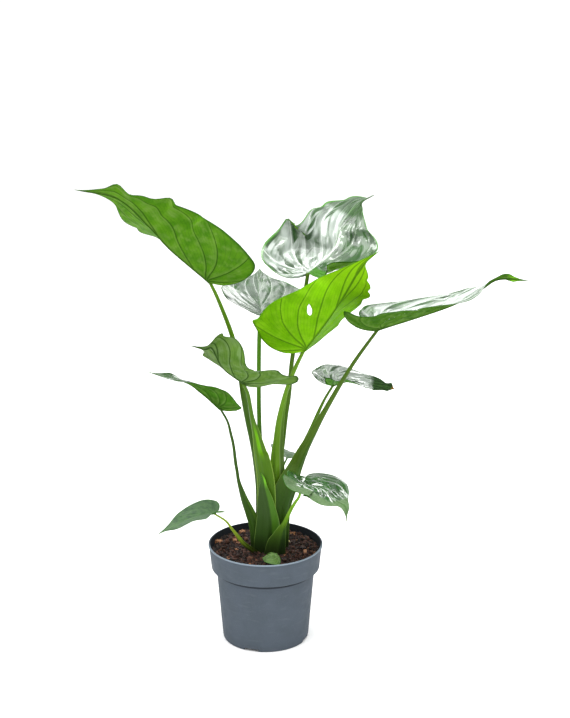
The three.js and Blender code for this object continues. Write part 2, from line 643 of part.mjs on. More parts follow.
/** The soil: a plug that fills the pot, with bark on its crumbly top. */
function soil() {
  const vertices = [];
  const faces = [];
  const floor = [
    [soilRadius(0) - FLOOR_ROUNDING, FLOOR_Z + GAP],
    [soilRadius(0), FLOOR_Z + GAP + FLOOR_ROUNDING],
    [soilRadius(BODY_TOP_Z + 1), BODY_TOP_Z + STEP_INSIDE + GAP],
    [soilRadius(COLLAR_FOOT_Z + 1), COLLAR_FOOT_Z + STEP_INSIDE + GAP],
  ];
  const edge = soilRadius(SOIL_TOP_Z) - 0.3;
  const rings = floor.map(([radius, z]) => ({ radius, z }));
  for (let i = 0; i < SOIL_RINGS; i += 1) rings.push({ radius: edge * (1 - i / SOIL_RINGS) });
  rings.forEach(({ radius, z }) => {
    for (let k = 0; k < SOIL_SEGMENTS; k += 1) {
      const turn = (k * 2 * Math.PI) / SOIL_SEGMENTS;
      const [x, y] = [radius * Math.cos(turn), radius * Math.sin(turn)];
      vertices.push(new THREE.Vector3(x, y, z ?? soilHeight(x, y)));
    }
  });
  const bottom = vertices.push(new THREE.Vector3(0, 0, FLOOR_Z + GAP)) - 1;
  const top = vertices.push(new THREE.Vector3(0, 0, soilHeight(0, 0))) - 1;
  const lastRing = (rings.length - 1) * SOIL_SEGMENTS;
  for (let k = 0; k < SOIL_SEGMENTS; k += 1) {
    const next = (k + 1) % SOIL_SEGMENTS;
    faces.push([bottom, next, k]);
    faces.push([top, lastRing + k, lastRing + next]);
    for (let i = 0; i < rings.length - 1; i += 1) {
      const [low, high] = [i * SOIL_SEGMENTS, (i + 1) * SOIL_SEGMENTS];
      faces.push([low + k, low + next, high + next], [low + k, high + next, high + k]);
    }
  }
  let plug = closedSolid(vertices, faces);
  const random = seeded(BARK_SEED);
  for (let i = 0; i < BARK_CHIPS; i += 1) plug = plug.add(barkChip(random));
  plug = plug.subtract(soilHole(CLUMP_HOLE, STALK_FOOT_Z - GAP));
  plug = plug.subtract(soilHole(SEEDLING_HOLE, SEEDLING_FOOT_Z - GAP));
  return largestBody(plug.subtract(corm(GAP)));
}

/** The rootstock: a blunt cone with a flat top, grown a little on all sides. */
function corm(growth) {
  return turned([
    [0, CORM_FOOT_Z - growth],
    [CORM_RADIUS * 0.35 + growth, CORM_FOOT_Z - growth],
    [CORM_RADIUS * 0.62 + growth, CORM_FOOT_Z + 14],
    [CORM_RADIUS * 0.9 + growth, CORM_FOOT_Z + 42],
    [CORM_RADIUS + growth, CORM_TOP_Z - 12],
    [CORM_RADIUS + growth, CORM_TOP_Z + growth],
    [0, CORM_TOP_Z + growth],
  ], CORM_SEGMENTS, CORM_X, CORM_Y);
}

/** A stalk through its stations, grown a little on all sides. */
function stalkSolid(stations, growth) {
  const points = stations.map(([x, y, z]) => new THREE.Vector3(x, y, z));
  const last = points.length - 1;
  const vertices = [];
  points.forEach((point, i) => {
    const ahead = points[Math.min(i + 1, last)].clone()
      .sub(points[Math.max(i - 1, 0)]).normalize();
    const centre = point.clone();
    if (i === 0) centre.addScaledVector(ahead, STALK_HEAD_DROP - growth);
    if (i === last) centre.addScaledVector(ahead, growth);
    const across = ahead.clone().cross(new THREE.Vector3(0, -1, 0)).normalize();
    if (i === last) across.set(-1, 0, 0);
    const deep = i === last ? new THREE.Vector3(0, -1, 0) : across.clone().cross(ahead);
    const [width, depth] = [stations[i][3] / 2 + growth, stations[i][4] / 2 + growth];
    for (let k = 0; k < STALK_SIDES; k += 1) {
      const turn = ((k + 0.5) * 2 * Math.PI) / STALK_SIDES;
      const thin = 1 - SHEATH_FLATTENING * Math.cos(turn) ** 2;
      vertices.push(centre.clone()
        .addScaledVector(across, width * Math.cos(turn))
        .addScaledVector(deep, depth * thin * Math.sin(turn)));
    }
  });
  const faces = [];
  for (let i = 0; i < last; i += 1) {
    for (let k = 0; k < STALK_SIDES; k += 1) {
      const next = (k + 1) % STALK_SIDES;
      const [here, below] = [i * STALK_SIDES, (i + 1) * STALK_SIDES];
      faces.push([here + k, below + next, here + next], [here + k, below + k, below + next]);
    }
  }
  for (let k = 1; k < STALK_SIDES - 1; k += 1) {
    const foot = last * STALK_SIDES;
    faces.push([0, k, k + 1], [foot, foot + k + 1, foot + k]);
  }
  return closedSolid(vertices, faces);
}

/** Every stalk, each cut clear of the blades and of the stalks before it. */
function stalks() {
  const routes = new Map(LEAVES.map((leaf) => [leaf.name, leaf.stalk]));
  routes.set('front_sheath', FRONT_SHEATH);
  const made = new Map();
  const grown = [];
  for (const name of FRONT_TO_BACK) {
    let stalk = stalkSolid(routes.get(name), 0);
    for (const cutter of grown) stalk = stalk.subtract(cutter);
    const leaf = LEAVES.find((entry) => entry.name === name);
    for (const growth of leaf ? BLADE_SEATS : []) {
      stalk = stalk.subtract(bladeSolid(leaf, growth));
    }
    made.set(name, largestBody(stalk));
    grown.push(stalkSolid(routes.get(name), GAP));
  }
  return made;
}

/** A named mesh of one solid. */
function piece(name, solid, finish) {
  const mesh = new THREE.Mesh(geometryOf(solid), finish);
  mesh.name = name;
  return mesh;
}

/** The whole plant in its pot. */
function pottedTaro() {
  const group = new THREE.Group();
  group.add(piece('pot', pot(), FINISH.pot));
  group.add(piece('soil', soil(), FINISH.soil));
  group.add(piece('corm', corm(0), FINISH.corm));
  for (const [name, solid] of stalks()) {
    const node = name === 'front_sheath' ? name : `petiole_${name}`;
    group.add(piece(node, solid, FINISH.stalk));
  }
  for (const leaf of LEAVES) {
    group.add(piece(`blade_${leaf.name}`, bladeSolid(leaf, 0), FINISH.blade));
  }
  return group;
}

export default pottedTaro();
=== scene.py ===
"""The looks of a potted chinese taro: its leaves, stalks, bark soil and pot.

Sizes are in millimetres in the part's frame (+Z up, the ground at zero, the
camera looking along +Y) and are turned to metres where a mesh is made.
"""

from __future__ import annotations

import logging
import math
from dataclasses import dataclass, field
from enum import Enum
from typing import Any

import bpy
import numpy as np
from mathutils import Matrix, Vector


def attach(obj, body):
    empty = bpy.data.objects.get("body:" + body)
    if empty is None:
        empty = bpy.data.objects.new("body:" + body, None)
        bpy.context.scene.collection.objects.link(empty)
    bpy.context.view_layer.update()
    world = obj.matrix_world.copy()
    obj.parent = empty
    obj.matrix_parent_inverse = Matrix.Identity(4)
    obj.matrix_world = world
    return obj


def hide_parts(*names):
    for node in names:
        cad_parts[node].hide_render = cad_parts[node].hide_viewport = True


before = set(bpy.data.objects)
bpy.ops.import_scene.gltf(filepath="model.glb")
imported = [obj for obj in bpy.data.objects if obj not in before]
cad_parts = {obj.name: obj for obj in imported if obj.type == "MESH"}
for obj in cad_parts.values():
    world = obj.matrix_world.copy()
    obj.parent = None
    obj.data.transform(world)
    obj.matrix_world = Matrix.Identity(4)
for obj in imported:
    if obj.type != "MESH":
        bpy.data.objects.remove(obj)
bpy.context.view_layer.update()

LOG = logging.getLogger("taro")
MM = 0.001
PER_METRE = (1000.0, 1000.0, 1000.0)
BODY = "root"
# The setting of a rise that starts and ends softly
SMOOTH = {"interpolation_type": "SMOOTHSTEP"}

# Where most of a noise's values lie
NOISE_LOW, NOISE_HIGH = 0.35, 0.65
# How far from the midrib, in mm, the finish of one half passes into the other's
MIDRIB_BLUR = 3.0
# Steps in a noise that give each panel between two veins, and each half of the
# blade, a pattern of its own
PANE_SHIFT = 3.7
HALF_SHIFT = 5.0
# How far apart in the noise of their relief the two halves of a blade lie
LATTICE_SHIFT = 31.0

# Half of the heart-shaped outline of a flattened blade, from the stalk to the
# tip: (along, across, where its vein leaves the midrib), in blade lengths
OUTLINE = (
    (0, 0, 0),
    (-0.075, 0.035, 0.012),
    (-0.15, 0.105, 0.03),
    (-0.185, 0.205, 0.055),
    (-0.15, 0.31, 0.09),
    (-0.04, 0.385, 0.145),
    (0.11, 0.405, 0.23),
    (0.27, 0.365, 0.34),
    (0.43, 0.285, 0.46),
    (0.59, 0.19, 0.6),
    (0.73, 0.105, 0.735),
    (0.85, 0.045, 0.853),
    (0.93, 0.018, 0.931),
    (1, 0, 1),
)
# Its width from edge to edge, how its outer columns sweep along the blade and
# how close to the edge a swelling stays
OUTLINE_WIDTH = 0.81
BLADE_SPREAD = 1.4
EDGE_SHARPNESS = 4
# The lengths over which a lobe bends back and a half cups, in blade lengths
LOBE_REACH = 0.185
CUP_REACH = 0.4

# The rows of the outline where each side vein starts at the midrib and ends at
# the edge: most start near the stalk and sweep forward round the blade
VEIN_STARTS = (0.0, 0.1, 0.2, 0.4, 1.0, 4.3, 7.4, 9.6, 11.4, 13.0)
VEIN_ENDS = (0.0, 2.4, 4.6, 6.9, 8.8, 10.6, 11.7, 12.3, 12.7, 13.0)
VEIN_SWEEP = 0.62


@dataclass(frozen=True)
class LeafShape:
    """How one leaf's blade and stalk run, as in the part's source.

    Pairs are for the left and the right half. Places and spreads along the
    blade are shares of its midrib's length.

    Attributes:
        name: The leaf's name.
        midrib: Its points (x, y, z) from the stalk to the tip, in mm.
        width: The blade's greatest width, as a share of its midrib's length.
        roll: Its turn about the midrib, in degrees, from the stalk to the tip.
        left: How far the left half folds up, in degrees, in the same order.
        right: How far the right half folds up.
        cup: How far each half curls towards its edge, in degrees.
        wave: How high the waves of each edge are, in mm.
        waves: How many waves each edge has.
        phase: Where they start, in degrees.
        lobe: How long each lobe is, as a share of the outline's.
        back: How far each lobe bends behind the stalk, in degrees.
        stalk: Its stations (x, y, z, width, depth) from the top down, in mm.
        ripples: Single waves as (side, place, height in mm, spread).
        edges: Swellings of the edge as (side, place, share of the width, spread).
    """

    name: str
    midrib: tuple[tuple[float, ...], ...]
    width: float
    roll: tuple[float, ...]
    left: tuple[float, ...]
    right: tuple[float, ...]
    cup: tuple[float, ...]
    wave: tuple[float, ...]
    waves: tuple[float, ...]
    phase: tuple[float, ...]
    lobe: tuple[float, ...]
    back: tuple[float, ...]
    stalk: tuple[tuple[float, ...], ...]
    ripples: tuple[tuple[Any, ...], ...] = ()
    edges: tuple[tuple[Any, ...], ...] = ()


LEAVES = (
    LeafShape(
        name="upper_left",
        midrib=((-86, -15, 616), (-147, -5, 666), (-181, -9, 705), (-228, -15, 750),
          (-297, 2, 761)),
        width=0.82, roll=(25, 26, 25, 22),
        left=(36, 35, 25, 15), right=(50, 21, -8, 4), cup=(0, -4),
        wave=(0, 2.5), waves=(2.1, 2.3), phase=(0, 11), lobe=(0.9, 0.7), back=(40, 32),
        ripples=(("left", 0.55, 10, 0.035), ("left", 0.62, -3, 0.03), ("left", 0.69, -6, 0.03),
          ("left", 0.755, 8, 0.03)),
        stalk=((-86, -15, 616, 5.2, 5), (-73, -12, 586, 6, 5.6), (-52, -6, 525, 7.7, 7),
          (-40, 0, 463, 9.2, 8.4), (-35, 3, 423, 9.6, 8.8), (-28, 6, 379, 9.8, 9),
          (-22, 9, 349, 10.5, 9.2), (-15, 12, 313, 13, 9.6), (-7, 15, 262, 19, 10),
          (-4, 17, 217, 24, 10), (-3, 18, 142, 26, 10)),
    ),
    LeafShape(
        name="upper_back",
        midrib=((70, 70, 610), (109, 96, 639), (124, 134, 676), (154, 176, 701), (181, 167, 719)),
        width=0.94, roll=(14, 19, 13, 6),
        left=(7, 6, 6, 5), right=(0, -13, -7, -1), cup=(46, 65),
        wave=(5, 2), waves=(3.4, 3.1), phase=(-151, 13), lobe=(1.3, 0.05), back=(42, 50),
        ripples=(("left", -0.12, -10, 0.1),),
        edges=(("left", 0.7, 0.4, 0.07), ("left", 0.86, 1, 0.05)),
        stalk=((70, 70, 610, 6, 5.6), (60, 64, 549, 6.8, 6.4), (45, 56, 473, 7.2, 6.8),
          (39, 50, 408, 7.6, 7), (34, 46, 375, 8, 7.2), (29, 42, 333, 9, 7.6),
          (24, 37, 305, 13, 8.4), (14, 32, 229, 24, 10), (10, 31, 142, 28, 10)),
    ),
    LeafShape(
        name="upper_centre",
        midrib=((62, -22, 505), (96, -15, 548), (124, -13, 590), (153, -26, 644), (181, -10, 666)),
        width=0.91, roll=(-52, -48, -44, -39),
        left=(36, 22, 9, -5), right=(32, 27, 22, 18), cup=(-13, 13),
        wave=(-1, 0.6), waves=(3.1, 2.7), phase=(-5, 10), lobe=(0.4, 0.7), back=(75, 22),
        edges=(("left", 0.52, -0.14, 0.02), ("left", 0.61, -0.14, 0.02),
          ("left", 0.71, -0.16, 0.02), ("right", -0.05, 0.12, 0.03)),
        stalk=((62, -22, 505, 5.6, 5.2), (51, -17, 480, 6.6, 6), (42, -12, 456, 7, 6.4),
          (33, -7, 427, 7.6, 6.8), (25, 0, 382, 13, 7.6), (21, 7, 338, 17, 8.4),
          (20, 12, 313, 22, 9), (20, 18, 262, 26, 10), (18, 21, 215, 29, 10),
          (18, 21, 142, 30, 10)),
    ),
    LeafShape(
        name="right",
        midrib=((181, -5, 536), (247, 12, 552), (304, 2, 576), (346, 10, 598), (373, 7, 615),
          (420, -1, 615)),
        width=0.43, roll=(5, 4, 4, 4, 4, -25, -75),
        left=(22, 16, 9, 3), right=(46, 29, 13, 15), cup=(0, 3),
        wave=(-2.2, 0), waves=(2.1, 2.7), phase=(-62, 21), lobe=(0.4, 1.4), back=(50, 45),
        edges=(("left", 0.89, 2, 0.05), ("right", 0.87, 1.6, 0.05)),
        stalk=((181, -5, 536, 5, 4.8), (149, -3, 489, 6.1, 5.6), (126, -1, 450, 7, 6.4),
          (96, 2, 394, 9.3, 7.6), (79, 4, 360, 12.4, 8), (63, 6, 329, 17.8, 8.6),
          (48, 8, 295, 25.7, 9.4), (39, 9, 273, 34, 10), (31, 10, 250, 36, 10),
          (26, 11, 219, 31, 10), (24, 11, 142, 27, 10)),
    ),
    LeafShape(
        name="back",
        midrib=((-6, 95, 534), (-11, 140, 546), (-13, 186, 560), (-11, 246, 574)),
        width=0.98, roll=(8, 5, 1, -3),
        left=(20, 17, 14, 11), right=(20, 18, 16, 13), cup=(7, 14),
        wave=(1, 1), waves=(2.3, 2.7), phase=(-41, -11), lobe=(0.9, 1), back=(35, 21),
        stalk=((-6, 95, 534, 6, 5.6), (-10, 88, 500, 7, 6.4), (-11, 68, 402, 7.3, 6.6),
          (-10, 56, 346, 7.8, 7), (-9, 48, 302, 11, 8), (-5, 41, 228, 17, 8),
          (-4, 38, 142, 20, 8)),
    ),
    LeafShape(
        name="middle_left",
        midrib=((-33, -72, 467), (-64, -88, 497), (-80, -102, 532), (-89, -138, 542),
          (-109, -138, 547)),
        width=1.1, roll=(4, 5, 8, 11),
        left=(39, 17, 44, 70), right=(6, 8, 10, 11), cup=(-11, 0),
        wave=(2.3, 1.6), waves=(2.1, 2.8), phase=(-48, 47), lobe=(2.3, 0.7), back=(26, 17),
        edges=(("left", 0.62, -0.25, 0.03),),
        stalk=((-33, -72, 466, 5, 4.8), (-26, -60, 444, 6, 5.4), (-20, -44, 400, 7.6, 6.4),
          (-13, -32, 366, 14, 7), (-8, -22, 337, 21, 8), (-5, -14, 322, 25, 9),
          (1, 1, 277, 29, 10), (2, 8, 230, 31, 10), (2, 9, 142, 32, 10)),
    ),
    LeafShape(
        name="middle_right",
        midrib=((112, 60, 421), (144, 78, 423), (180, 99, 410), (215, 75, 410)),
        width=0.8, roll=(4, 12, 21, 31),
        left=(17, 9, 10, 11), right=(38, 18, 5, -8), cup=(4, -19),
        wave=(0.7, 1.5), waves=(2.6, 1.9), phase=(40, 38), lobe=(1.1, 1.3), back=(27, 42),
        edges=(("left", 0.93, 2.5, 0.06), ("right", 0.93, 1.5, 0.06)),
        stalk=((112, 60, 421, 4.2, 4), (99, 56, 400, 4.6, 4.4), (88, 50, 378, 5.8, 5),
          (75, 43, 349, 6.8, 5.6), (62, 36, 317, 13, 6.4), (50, 31, 287, 18, 7),
          (41, 29, 253, 21, 8), (29, 29, 205, 22, 8), (28, 29, 142, 22, 8)),
    ),
    LeafShape(
        name="lower_left",
        midrib=((-72, -35, 412), (-101, -47, 443), (-126, -48, 461), (-183, -58, 481)),
        width=0.57, roll=(10, 24, -5, -38),
        left=(35, 22, 10, 10), right=(45, 17, 4, 12), cup=(-16, -1),
        wave=(0, -3), waves=(2.1, 2.3), phase=(0, -11), lobe=(0.9, 1), back=(35, 26),
        stalk=((-71, -35, 412, 3.6, 3.4), (-60, -30, 389, 4, 3.8), (-55, -25, 366, 4.8, 4.4),
          (-51, -20, 344, 5, 4.6), (-48, -14, 312, 5.6, 5), (-46, -10, 297, 5.6, 5.2),
          (-43, -6, 275, 6.4, 5.6), (-34, -1, 243, 12.4, 6.4), (-24, 4, 215, 17.6, 8),
          (-17, 6, 188, 18.7, 10), (-14, 6, 142, 20, 10)),
    ),
    LeafShape(
        name="lower_right",
        midrib=((58, -55, 291), (92, -64, 286), (114, -108, 281), (127, -134, 282),
          (130, -138, 258)),
        width=0.69, roll=(-12, -6, -2, 2),
        left=(12, 13, 6, -2), right=(-8, -9, -8, -6), cup=(-7, 3),
        wave=(4, -1.5), waves=(1.9, 2.3), phase=(-38, 0), lobe=(1.2, 1.3), back=(16, 49),
        stalk=((58, -55, 290, 4, 3.8), (56, -50, 269, 4.4, 4), (49, -42, 254, 5.2, 4.4),
          (42, -34, 238, 5.8, 4.8), (36, -28, 222, 6.5, 5.2), (31, -23, 208, 8.5, 6),
          (27, -19, 198, 15, 7), (22, -16, 182, 25, 8), (18, -14, 169, 32, 9),
          (14, -13, 142, 36, 9)),
    ),
    LeafShape(
        name="low_left",
        midrib=((-81, -62, 243), (-108, -74, 243), (-137, -98, 241), (-171, -124, 231)),
        width=0.59, roll=(1, 3, -4, -11),
        left=(23, 10, 2, 6), right=(22, 14, 10, 6), cup=(1, 14),
        wave=(2.3, 0.6), waves=(2.3, 2.5), phase=(39, -39), lobe=(0.6, 0.7), back=(16, 17),
        stalk=((-81, -62, 242, 3.2, 3), (-64, -52, 226, 3.6, 3.4), (-55, -44, 210, 4.2, 3.8),
          (-46, -36, 194, 5.6, 4.4), (-36, -27, 176, 7.6, 5), (-25, -14, 161, 9, 6),
          (-17, -4, 150, 10, 7), (-15, 0, 142, 10, 7)),
    ),
    LeafShape(
        name="inner",
        midrib=((36, 80, 286), (30, 108, 286), (32, 133, 280), (38, 152, 274)),
        width=0.87, roll=(9, 9, 9, 7),
        left=(25, 25, 24, 18), right=(18, 9, 6, 5), cup=(5, -14),
        wave=(0, 0), waves=(2.3, 3.1), phase=(0, 0), lobe=(0.9, 1.1), back=(33, 35),
        stalk=((36, 80, 286, 3, 2.8), (28, 72, 269, 3.2, 3), (20, 61, 236, 4.4, 4),
          (14, 50, 186, 6, 5), (12, 45, 142, 7, 6)),
    ),
    LeafShape(
        name="seedling",
        midrib=((18, -68, 174), (9, -72, 176), (-5, -54, 161)),
        width=1.1, roll=(-19, -22, -27, -31),
        left=(-7, -3, 1, 7), right=(-15, -11, 4, 2), cup=(-19, -54),
        wave=(-1.4, 0.5), waves=(2.6, 3), phase=(-18, 20), lobe=(0.6, 0.8), back=(10, 18),
        stalk=((18, -68, 174, 3, 2.8), (20, -62, 163, 3.4, 3.2), (20, -53, 151, 4, 3.8),
          (19, -50, 136, 4.4, 4.2)),
    ),
)

# The open sheath at the front of the clump, with its pointed tip at the top
FRONT_SHEATH = (
    (-8, -9, 293, 2.4, 2), (-4, -8, 282, 7, 4), (-3, -7, 265, 15, 6), (0, -5, 242, 26, 8),
    (3, -4, 216, 34, 11), (4, -3, 195, 40, 13), (3, -3, 165, 44, 13), (3, -3, 142, 44, 13),
)


def linear(shade: str) -> tuple[float, float, float, float]:
    """Turns an sRGB colour to linear.

    Args:
        shade: The colour as six hex digits after a hash sign.

    Returns:
        Its linear red, green, blue and alpha.
    """
    values = [int(shade[i : i + 2], 16) / 255 for i in (1, 3, 5)]
    curved = [v / 12.92 if v <= 0.04045 else ((v + 0.055) / 1.055) ** 2.4 for v in values]
    return (curved[0], curved[1], curved[2], 1.0)


def smooth_step(low: float, high: float, value: np.ndarray) -> np.ndarray:
    """A smooth rise from 0 at low to 1 at high."""
    share = np.clip((value - low) / (high - low), 0, 1)
    return share * share * (3 - 2 * share)


def along_rows(rows: Any, share: np.ndarray) -> np.ndarray:
    """Points of the smooth curve through rows of numbers.

    Args:
        rows: The rows, each with the same count of numbers.
        share: Where to read the curve, from 0 to 1.

    Returns:
        One row for each share.
    """
    table = np.asarray(rows, float)
    if table.ndim == 1:
        table = table[:, None]
    table = np.vstack([2 * table[0] - table[1], table, 2 * table[-1] - table[-2]])
    last = len(table) - 3
    place = np.clip(share, 0, 1) * last
    at = np.minimum(place.astype(int), last - 1)
    t = (place - at)[..., None]
    a, b, c, e = (table[at + k] for k in range(4))
    bent = (2 * a - 5 * b + 4 * c - e) * t**2 + (3 * b - a - 3 * c + e) * t**3
    return 0.5 * (2 * b + (c - a) * t + bent)


def unit(vectors: np.ndarray) -> np.ndarray:
    """The vectors with length one."""
    return vectors / np.maximum(np.linalg.norm(vectors, axis=-1, keepdims=True), 1e-12)


def ring_faces(rings: int, around: int) -> list[tuple[int, ...]]:
    """The faces that join rings of points, one after another.

    Args:
        rings: How many rings there are.
        around: How many points each of them has.

    Returns:
        The faces, ring by ring.
    """
    corners = [(k, (k + 1) % around) for k in range(around)]
    starts = [ring * around for ring in range(rings - 1)]
    return [(s + a, s + b, s + b + around, s + a + around) for s in starts for a, b in corners]


class Lattice:
    """Smooth seeded noise between -1 and 1 over two coordinates."""

    SIZE = 64

    def __init__(self, seed: int) -> None:
        """Draws the lattice's values."""
        self.values = np.random.default_rng(seed).uniform(-1, 1, (self.SIZE, self.SIZE))

    def __call__(self, x: np.ndarray, y: np.ndarray) -> np.ndarray:
        """Reads the noise.

        Args:
            x: The first coordinates, in cells of the lattice.
            y: The second ones.

        Returns:
            The noise at each place.
        """
        i, j = np.floor(x).astype(int), np.floor(y).astype(int)
        u, v = x - i, y - j
        u, v = u * u * (3 - 2 * u), v * v * (3 - 2 * v)
        i0, i1 = i % self.SIZE, (i + 1) % self.SIZE
        j0, j1 = j % self.SIZE, (j + 1) % self.SIZE
        low = self.values[i0, j0] * (1 - u) + self.values[i1, j0] * u
        high = self.values[i0, j1] * (1 - u) + self.values[i1, j1] * u
        return low * (1 - v) + high * v


@dataclass
class MeshData:
    """A mesh in the making: its corners, faces, materials and attributes."""

    vertices: np.ndarray
    faces: list[tuple[int, ...]]
    slots: np.ndarray | None = None
    attributes: dict[str, np.ndarray] = field(default_factory=dict)

    def to_object(
        self, name: str, materials: list[Any], nodes: tuple[str, ...], slot: str
    ) -> bpy.types.Object:
        """Makes the object and ties it to the frame.

        Args:
            name: The piece's name.
            materials: Its materials, in the order of the slots.
            nodes: The CAD nodes that it stands for.
            slot: The record's material slot; not used.

        Returns:
            The new object.
        """
        mesh = bpy.data.meshes.new(name)
        mesh.from_pydata((self.vertices * MM).tolist(), [], self.faces)
        mesh.polygons.foreach_set("use_smooth", [True] * len(mesh.polygons))
        for material in materials:
            mesh.materials.append(material)
        if self.slots is not None:
            mesh.polygons.foreach_set("material_index", self.slots)
        for key, values in self.attributes.items():
            made = mesh.attributes.new(key, "FLOAT_VECTOR", "POINT")
            made.data.foreach_set("vector", np.ascontiguousarray(values, float).ravel())
        mesh.update()
        piece = bpy.data.objects.new(name, mesh)
        bpy.context.scene.collection.objects.link(piece)
        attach(piece, BODY)
        if nodes:
            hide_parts(*nodes)
        return piece


class NodeTree:
    """A node tree in the making, of a finish or of the surroundings."""

    def __init__(self, owner: Any) -> None:
        """Empties the node tree.

        Args:
            owner: The material or the world that it belongs to.
        """
        owner.use_nodes = True
        self.tree = owner.node_tree
        self.tree.nodes.clear()

    def add(self, kind: str, inputs: Any = (), output: Any = 0, **settings: Any) -> Any:
        """Adds a node with its settings, its values and its links.

        Args:
            kind: Blender's name for the node type, without its prefix.
            inputs: A value, or an output to link from, for each input: in their
                order, or by their names or numbers.
            output: The name or number of the output that is wanted.
            settings: The node's own settings.

        Returns:
            The output socket, or None where the node has no outputs.
        """
        node = self.tree.nodes.new(f"ShaderNode{kind}")
        for name, value in settings.items():
            setattr(node, name, value)
        for key, value in inputs.items() if isinstance(inputs, dict) else enumerate(inputs):
            if isinstance(value, bpy.types.NodeSocket):
                self.tree.links.new(value, node.inputs[key])
            else:
                node.inputs[key].default_value = value
        return node.outputs[output] if node.outputs else None


class Surface(NodeTree):
    """A finish in the making: what it reads from the mesh, its shader and its output."""

    def __init__(self, name: str) -> None:
        """Starts an empty material."""
        self.material = bpy.data.materials.new(name)
        super().__init__(self.material)

    def read(self, attribute: str) -> tuple[Any, Any]:
        """Reads an attribute of the mesh.

        Args:
            attribute: The attribute's name.

        Returns:
            Its vector output, and its X, Y and Z outputs.
        """
        source = self.add("Attribute", output="Vector", attribute_name=attribute)
        return source, self.add("SeparateXYZ", (source,)).node.outputs

    def close(self, shader: dict, glow: Any = None, share: float = 0.0) -> Any:
        """Adds the shader and the output.

        Args:
            shader: The Principled shader's inputs.
            glow: The colour of the light that passes through, if any does.
            share: How much of the surface passes light through.

        Returns:
            The material.
        """
        last = self.add("BsdfPrincipled", shader)
        if glow is not None:
            back = self.add("BsdfTranslucent", {"Color": glow, "Normal": shader["Normal"]})
            last = self.add("MixShader", (share, last, back))
        self.add("OutputMaterial", {"Surface": last})
        return self.material


